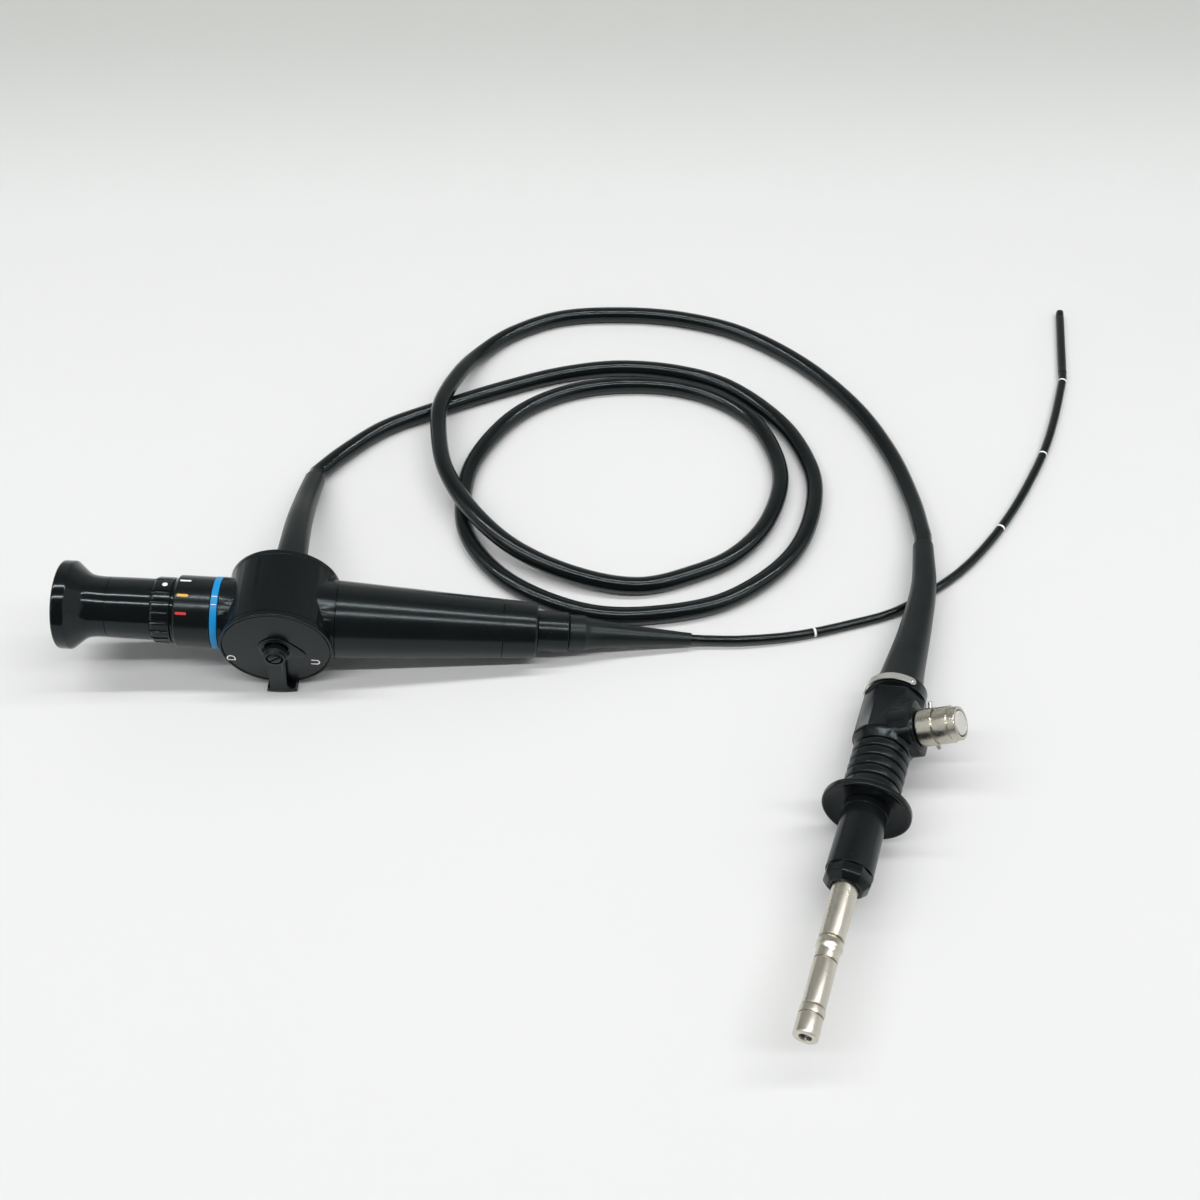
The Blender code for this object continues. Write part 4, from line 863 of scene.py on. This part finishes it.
def build_bending_section(sizes):
    """Rubber sleeve over the links, one length for each joint, and the end cap."""
    outer, inner = sizes.tube_radius, sizes.tube_radius - 0.15
    pieces = []
    cuff = [(-4.9, outer + 0.01), (-4.9, outer + 0.10, 0.06), (-2.0, outer, 0.1), (-2.0, inner),
            (-3.5, inner), (-3.5, outer + 0.01)]
    pieces.append(put(turn(cuff, 40), "sheath_cuff", BEND, "sheath", "tube_ferrule"))
    steps = 12
    for i in range(BENDS):
        final = i == BENDS - 1
        end = 3.4 if final else LINK / 2
        along = [-LINK / 2 + (end + LINK / 2) * k / steps for k in range(steps + 1)]
        profile = [(x, outer) for x in along] + [(x, inner) for x in reversed(along)]
        piece = turn(profile, 40)
        place = BEND @ Matrix.Translation((LINK * i, 0, 0))
        piece = put(piece, f"sheath_{i + 1}", place, "sheath", body=None)
        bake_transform(piece)
        pieces.append(piece)
    tip_place = BEND @ Matrix.Translation((LINK * (BENDS - 1), 0, 0))
    cap = turn([(2.6, 0), (2.6, 1.62), (3.45, 1.62), (3.45, 1.72, 0.08),
                (LAST_BEND_TO_END, 1.72, 0.3), (LAST_BEND_TO_END, 0)], 48)
    for across, radius in ((-0.6, 0.65), (0.95, 0.45)):
        hole = bar(7.0, 8.0, radius, 24)
        hole.data.transform(Matrix.Translation((0, across, 0)))
        cut(cap, hole)
    pieces.append(put(cap, "tip_cap", tip_place, "satin", body="tip"))
    for name, node, across, radius in (("objective_glass", "objective_lens", -0.6, 0.62),
                                       ("light_glass", "light_lens", 0.95, 0.42)):
        lens = turn([(6.8, 0), (6.8, radius), (7.3, radius, 0.1), (7.42, radius * 0.5, 0.2), (7.44, 0)], 24)
        lens.data.transform(Matrix.Translation((0, across, 0)))
        pieces.append(put(lens, name, tip_place, "glass", node, "tip"))
    return pieces


def build_cords(sizes):
    """Builds the cord and the shaft with the pieces that lie along them."""
    cable, route = build_light_guide(sizes)
    shaft, shaft_route, rings = build_insertion_tube(sizes)
    section = build_bending_section(sizes)
    tuple((FOOT + shaft_route[0]) * MM)
    line_length(shaft_route) * MM
    tuple((FOOT + route[0]) * MM)
    line_length(route) * MM


def facet(made, outline, turned_by):
    """Cuts a flat on the connector's body."""
    cutter = plate(outline, -14, 14)
    cutter.data.transform(rotation(turned_by))
    cut(made, cutter)


def build_connector_body(sizes):
    """Round body with three flats, one for the label, a faceted rim, and a square boss for the vent."""
    back, front = CONNECTOR_BACK, -24.3
    made = turn([(back, 4), (back, 9.0, 0.3), (back + 0.8, 10.35, 0.4), (back + 5.7, 10.4, 0.1),
                 (back + 6.1, 10.95, 0.2), (front - 3.2, 10.95, 0.3), (front - 0.6, 9.6, 0.3),
                 (front, 9.4, 0.2), (front, 4)], 128)
    low, high = back + 6.4, front - 4.2
    for turned_by, depth in ((16, 8.9), (-32, 9.5), (64, 9.6)):
        facet(made, [(low, depth), (high, depth), (high + 1.2, depth + 4), (low - 0.4, depth + 4)], turned_by)
    rim = [(front - 3.6, 11.4), (front - 3.6, 10.25), (front + 0.5, 9.2), (front + 0.5, 11.4)]
    for turned_by in range(16, 360, 45):
        facet(made, rim, turned_by)
    boss = turn([(4, 0), (4, 8.6, 0.5), (9.6, 8.0, 0.8), (12.9, 7.3, 0.5), (13.0, 0)], 96, "Y")
    side, corner = 7.6, 2.6
    inner = side - corner
    outline = []
    for first, x, z in ((-90, 1, -1), (0, 1, 1), (90, -1, 1), (180, -1, -1)):
        outline += arc(corner, first, first + 90, 8, (inner * x, inner * z))
    for piece in (boss, plate(outline, 4.0, 12.2)):
        piece.data.transform(CONNECTOR.inverted() @ VENT)
        join(made, piece)
    bevel(made, 0.3, 2, 32)
    put(made, "connector_shell", CONNECTOR, "satin", "connector_body", angle=40)


def build_band(sizes):
    """Steel band with round ends, its rivet and its screw."""
    made = grid(60, 8)
    first, last, radius, half, middle = math.radians(64), math.radians(200), 11.05, 2.7 / 2, -50.5
    for vertex in made.data.vertices:
        angle = first + (last - first) * (vertex.co.x + 0.5)
        from_end = min(angle - first, last - angle) * radius
        reach = max(half - from_end, 0)
        across = vertex.co.y * 2 * math.sqrt(max(half ** 2 - reach ** 2, 0.0001))
        vertex.co = (middle + across, radius * math.cos(angle), radius * math.sin(angle))
    thicken(made, 0.4, 1)
    bevel(made, 0.08, 2, 40)
    put(made, "steel_band", CONNECTOR, "band", "id_band", angle=40)
    for name, node, angle, radius in (("rivet_head", "band_rivet", first + 0.13, 0.75),
                                      ("screw_head", "band_screw", last - 0.12, 1.1)):
        head = turn([(10.9, 0), (10.9, radius), (11.55, radius, 0.2), (11.85, radius * 0.6, 0.3),
                     (11.9, 0)], 32, "Y")
        place = CONNECTOR @ Matrix.Translation((middle, 0, 0)) @ Matrix.Rotation(angle, 4, "X")
        put(head, name, place, "steel", node)


def build_vent(sizes):
    """Plated vent with its groove, rim, white disc and bayonet pins."""
    base, end = 13.2, 27.3
    groove = base + 5.9
    profile = [(base, 0), (base, 6.2, 0.3), (base + 0.5, 6.5, 0.3), (groove, 6.5, 0.15), (groove, 5.9),
               (groove + 0.6, 5.9), (groove + 0.6, 6.35, 0.2), (end - 2.7, 6.35, 0.25),
               (end - 2.6, 5.75, 0.1), (end, 5.75, 0.4), (end, 4.6, 0.3), (end - 3.2, 4.5), (end - 3.2, 0)]
    put(turn(profile, 128, "Y"), "vent_barrel", VENT, "vent", "vent_connector")
    disc = [(end - 1.7, 0), (end - 1.7, 4.2), (end + 0.1, 4.2, 0.3), (end + 0.3, 3.6, 0.2), (end + 0.3, 0)]
    put(turn(disc, 64, "Y"), "vent_plug", VENT, "nylon", "vent_disc", "vent_valve")
    for name, node, angle in (("bayonet_upper", "vent_pin_upper", 205),
                              ("bayonet_lower", "vent_pin_lower", 75)):
        pin = turn([(6.3, 0), (6.3, 0.7), (8.8, 0.7, 0.2), (9.1, 0.45, 0.15), (9.1, 0)], 32)
        place = VENT @ Matrix.Translation((0, base + 3.1, 0)) @ rotation(angle, "Y")
        put(pin, name, place, "vent", node)


def build_ribs(sizes):
    profile = [(-24.0, 4.0), (-24.0, 8.9, 0.2)]
    for i in range(4):
        low = -24.0 + i * 4.0
        profile += [(low + 0.35, 8.7, 0.2), (low + 0.8, 9.3, 0.2), (low + 1.1, 9.85, 0.5),
                    (low + 3.45, 9.6, 0.6), (low + 3.8, 8.7, 0.15)]
    profile += [(-8.0, 9.0), (-8.0, 4.0)]
    put(turn(profile, 128), "ribbed_sleeve", CONNECTOR, "satin", "ribbed_grip")


def build_flange(sizes):
    profile = [(-7.7, 4.0), (-7.7, 9.4, 0.2), (-5.0, 9.6, 0.6), (-3.2, 11.0, 1.0), (-1.4, 13.4, 1.0),
               (-0.9, 15.0, 0.35), (1.0, 15.0, 0.5), (1.4, 14.3, 0.4), (0.5, 12.6, 1.0), (-0.2, 9.0, 0.6),
               (-0.3, 4.0)]
    put(turn(profile, 160), "flange_disc", CONNECTOR, "satin", "grip_flange")


def build_sleeve(sizes):
    profile = [(0.0, 4.7), (0.0, 7.6, 0.1), (2.7, 7.6, 0.1), (2.75, 7.4), (26.4, 7.75, 0.15), (26.4, 4.7)]
    put(turn(profile, 128), "pin_barrel", CONNECTOR, "satin", "pin_sleeve")
    nut = turn([(26.55, 4.7), (26.55, 7.9), (30.0, 7.9), (32.2, 6.0), (32.2, 4.7)], 8)
    bevel(nut, 0.25, 3, 25)
    put(nut, "pin_nut", CONNECTOR @ rotation(20), "satin", "sleeve_collar")


def build_pin(sizes):
    profile = [(22.0, 0), (22.0, 4.4), (50.9, 4.02, 0.15), (51.0, 3.1), (51.9, 3.1), (52.1, 4.1, 0.3),
               (54.2, 4.3, 0.5), (55.4, 3.75, 0.5), (58.5, 3.7, 0.05), (58.55, 3.0), (59.1, 3.0),
               (59.15, 3.72, 0.05), (74.4, 3.72, 0.15), (74.6, 3.3), (74.6, 0)]
    put(turn(profile, 128), "guide_pin", CONNECTOR, "nickel", "light_guide_pin")
    ferrule = [(74.75, 1.9), (74.75, 3.3), (75.0, 3.88, 0.1), (77.3, 3.88, 0.05), (77.35, 3.3), (77.8, 3.3),
               (77.85, 3.88, 0.05), (84.3, 3.85, 0.4), (84.3, 1.95, 0.25), (80.0, 1.9)]
    put(turn(ferrule, 128), "pin_end", CONNECTOR, "nickel", "pin_ferrule")


def dress_solids():
    """Finishes for the solids that stay: the works inside and the small fibres and links."""
    finishes = {"lens_cell": "steel", "ocular_lens": "glass", "lever_shaft": "steel", "wire_pulley": "brass",
                "shaft_bush": "satin", "up_wire_rod": "steel", "down_wire_rod": "steel", "coil_stay": "satin",
                "image_bundle": "fibre", "light_bundle": "fibre", "light_guide_glass": "glass",
                "distal_tip": "steel", **{f"bending_link_{i}": "steel" for i in range(1, 9)}}
    for name, look in finishes.items():
        NODES[name].data.materials.clear()
        NODES[name].data.materials.append(LOOKS[look])


# Stage

def build_stage(sizes):
    """White table that sweeps up into a wall behind and is painted grey there as shade, the camera, the
    lights and the room.
    """
    made = grid(4, 60)
    front, bend, rise, wall, wide = -0.9, 0.62, 0.5, 1.2, 3.4
    sweep = rise * math.pi / 2
    for vertex in made.data.vertices:
        along = front + (vertex.co.y + 0.5) * (bend - front + sweep + wall)
        over = along - bend
        if over <= 0:
            y, z = along, 0
        elif over < sweep:
            y, z = bend + rise * math.sin(over / rise), rise - rise * math.cos(over / rise)
        else:
            y, z = bend + rise, rise + over - sweep
        vertex.co = (vertex.co.x * wide, y, z)
    only(made)
    bpy.ops.object.shade_smooth()
    made.name = "table"
    shade = Shade("white table")
    cloud = shade.noise(0.004, 3)
    # Painted shade: the table turns grey from 0.27 m to 0.50 m behind, where the sweep rises into the wall
    back = shade.step(shade.part(shade.place, "Y"), 0.27, 0.50)
    near = shade.between(cloud, (0.70, 0.705, 0.70), (0.72, 0.725, 0.72))
    shade.set(Base_Color=shade.between(back, near, (0.565, 0.575, 0.555)), Roughness=0.8,
              Specular_IOR_Level=0.2)
    made.data.materials.append(shade.material)
    add_camera()
    add_lights()
    add_room()
    bpy.context.scene.view_settings.view_transform = "Standard"


def add_room():
    """A grey room: dark on the viewer's side, lighter behind and to the left and right."""
    world = bpy.data.worlds.new("room")
    bpy.context.scene.world = world
    room = Nodes(world)
    way = room.node("ShaderNodeTexCoord", {}, {}, "Generated")
    behind = room.step(room.part(way, "Y"), -0.2, 0.7, 0.03, 0.30)
    sideways = room.node("ShaderNodeMath", {"operation": "ABSOLUTE"}, {0: room.part(way, "X")})
    beside = room.step(sideways, 0.45, 0.95, 0.0, 0.38)
    lighter = room.node("ShaderNodeMath", {"operation": "MAXIMUM"}, {0: behind, 1: beside})
    background = room.tree.nodes["Background"].inputs
    room.feed(background["Strength"], lighter)
    room.feed(background["Color"], (0.95, 1.0, 1.0))


def add_camera():
    bpy.ops.object.camera_add()
    camera = bpy.context.object
    camera.name = "camera"
    camera.data.lens = 39.0
    camera.data.sensor_width = 36.0
    camera.data.clip_start = 0.01
    camera.location = (FOOT + Vector((108.7, -296.6, 394.8))) * MM
    camera.rotation_euler = (math.radians(39), 0, math.radians(-1.45))
    bpy.context.scene.camera = camera


def add_lights():
    """Two long strips overhead and a large soft box on each side."""
    target = Vector((0.06, 0.02, 0.02))
    lamps = (("strip_back", (0, 0.139, 0.99), 1.35, 2.6, 0.04, 15.2),
             ("strip_front", (0, -0.342, 0.94), 1.35, 2.6, 0.04, 13.6),
             ("soft_left", (-0.88, -0.3, 0.45), 1.6, 2.0, 1.6, 4.0),
             ("soft_right", (0.88, -0.3, 0.45), 1.6, 2.0, 1.6, 4.0))
    for name, way, away, long, wide, power in lamps:
        bpy.ops.object.light_add(type="AREA")
        lamp = bpy.context.object
        lamp.name = name
        lamp.data.shape = "RECTANGLE"
        lamp.data.size = long
        lamp.data.size_y = wide
        lamp.data.energy = power
        lamp.location = target + Vector(way).normalized() * away
        lamp.rotation_euler = (lamp.location - target).to_track_quat("Z", "Y").to_euler()


# Operators and panel

class EndoscopeStep:
    """Shared by the steps: each builds its pieces or raises what went wrong."""
    bl_options = {"REGISTER", "UNDO"}
    makers = ()

    def execute(self, context):
        for maker in self.makers:
            maker(context.scene.endoscope_sizes)
        return {"FINISHED"}


class ENDOSCOPE_OT_finishes(bpy.types.Operator):
    """Mixes the finishes and gives them to the solids that stay"""
    bl_idname = "endoscope.finishes"
    bl_label = "Finishes"

    def execute(self, context):
        mix_finishes(context.scene.endoscope_colours)
        dress_solids()
        return {"FINISHED"}


class ENDOSCOPE_OT_stage(EndoscopeStep, bpy.types.Operator):
    """Builds the table, the camera, the lights and the room"""
    bl_idname = "endoscope.stage"
    bl_label = "Stage"
    makers = (build_stage,)


class ENDOSCOPE_OT_cords(EndoscopeStep, bpy.types.Operator):
    """Builds the light guide cord, the insertion tube with its bending section, and their boots"""
    bl_idname = "endoscope.cords"
    bl_label = "Cords"
    makers = (build_connector_boot, build_cords)


class ENDOSCOPE_OT_eyepiece(EndoscopeStep, bpy.types.Operator):
    """Turns the eyecup, the barrel and the rings"""
    bl_idname = "endoscope.eyepiece"
    bl_label = "Eyepiece"
    makers = (build_eyecup, build_barrel, build_diopter_ring, build_index_ring, build_blue_ring)


class ENDOSCOPE_OT_body(EndoscopeStep, bpy.types.Operator):
    """Builds the drum, its covers and the grip"""
    bl_idname = "endoscope.body"
    bl_label = "Control body"
    makers = (build_housing, build_covers, build_grip)


class ENDOSCOPE_OT_lever(EndoscopeStep, bpy.types.Operator):
    """Builds the thumb lever and its screw"""
    bl_idname = "endoscope.lever"
    bl_label = "Thumb lever"
    makers = (build_lever,)


class ENDOSCOPE_OT_connector(EndoscopeStep, bpy.types.Operator):
    """Builds the light source connector with its band, vent, grip and pin"""
    bl_idname = "endoscope.connector"
    bl_label = "Connector"
    makers = (build_connector_body, build_band, build_vent, build_ribs, build_flange, build_sleeve, build_pin)


STEPS = (ENDOSCOPE_OT_finishes, ENDOSCOPE_OT_stage, ENDOSCOPE_OT_connector, ENDOSCOPE_OT_cords,
         ENDOSCOPE_OT_eyepiece, ENDOSCOPE_OT_body, ENDOSCOPE_OT_lever)


class ENDOSCOPE_PT_panel(bpy.types.Panel):
    """Lists the steps, sizes and colours in the sidebar"""
    bl_label = "Flexible Endoscope"
    bl_idname = "ENDOSCOPE_PT_panel"
    bl_space_type = "VIEW_3D"
    bl_region_type = "UI"
    bl_category = "Endoscope"

    def draw(self, context):
        for step in STEPS:
            self.layout.operator(step.bl_idname)
        for group in (context.scene.endoscope_sizes, context.scene.endoscope_colours):
            box = self.layout.box()
            for name in group.__annotations__:
                box.prop(group, name)


CLASSES = (EndoscopeSizes, EndoscopeColours, *STEPS, ENDOSCOPE_PT_panel)


def register():
    for made in CLASSES:
        bpy.utils.register_class(made)
    bpy.types.Scene.endoscope_sizes = bpy.props.PointerProperty(type=EndoscopeSizes)
    bpy.types.Scene.endoscope_colours = bpy.props.PointerProperty(type=EndoscopeColours)


def unregister():
    del bpy.types.Scene.endoscope_colours
    del bpy.types.Scene.endoscope_sizes
    for made in reversed(CLASSES):
        bpy.utils.unregister_class(made)


def main():
    register()
    for step in STEPS:
        group, name = step.bl_idname.split(".")
        getattr(getattr(bpy.ops, group), name)()


if __name__ == "__main__":
    main()
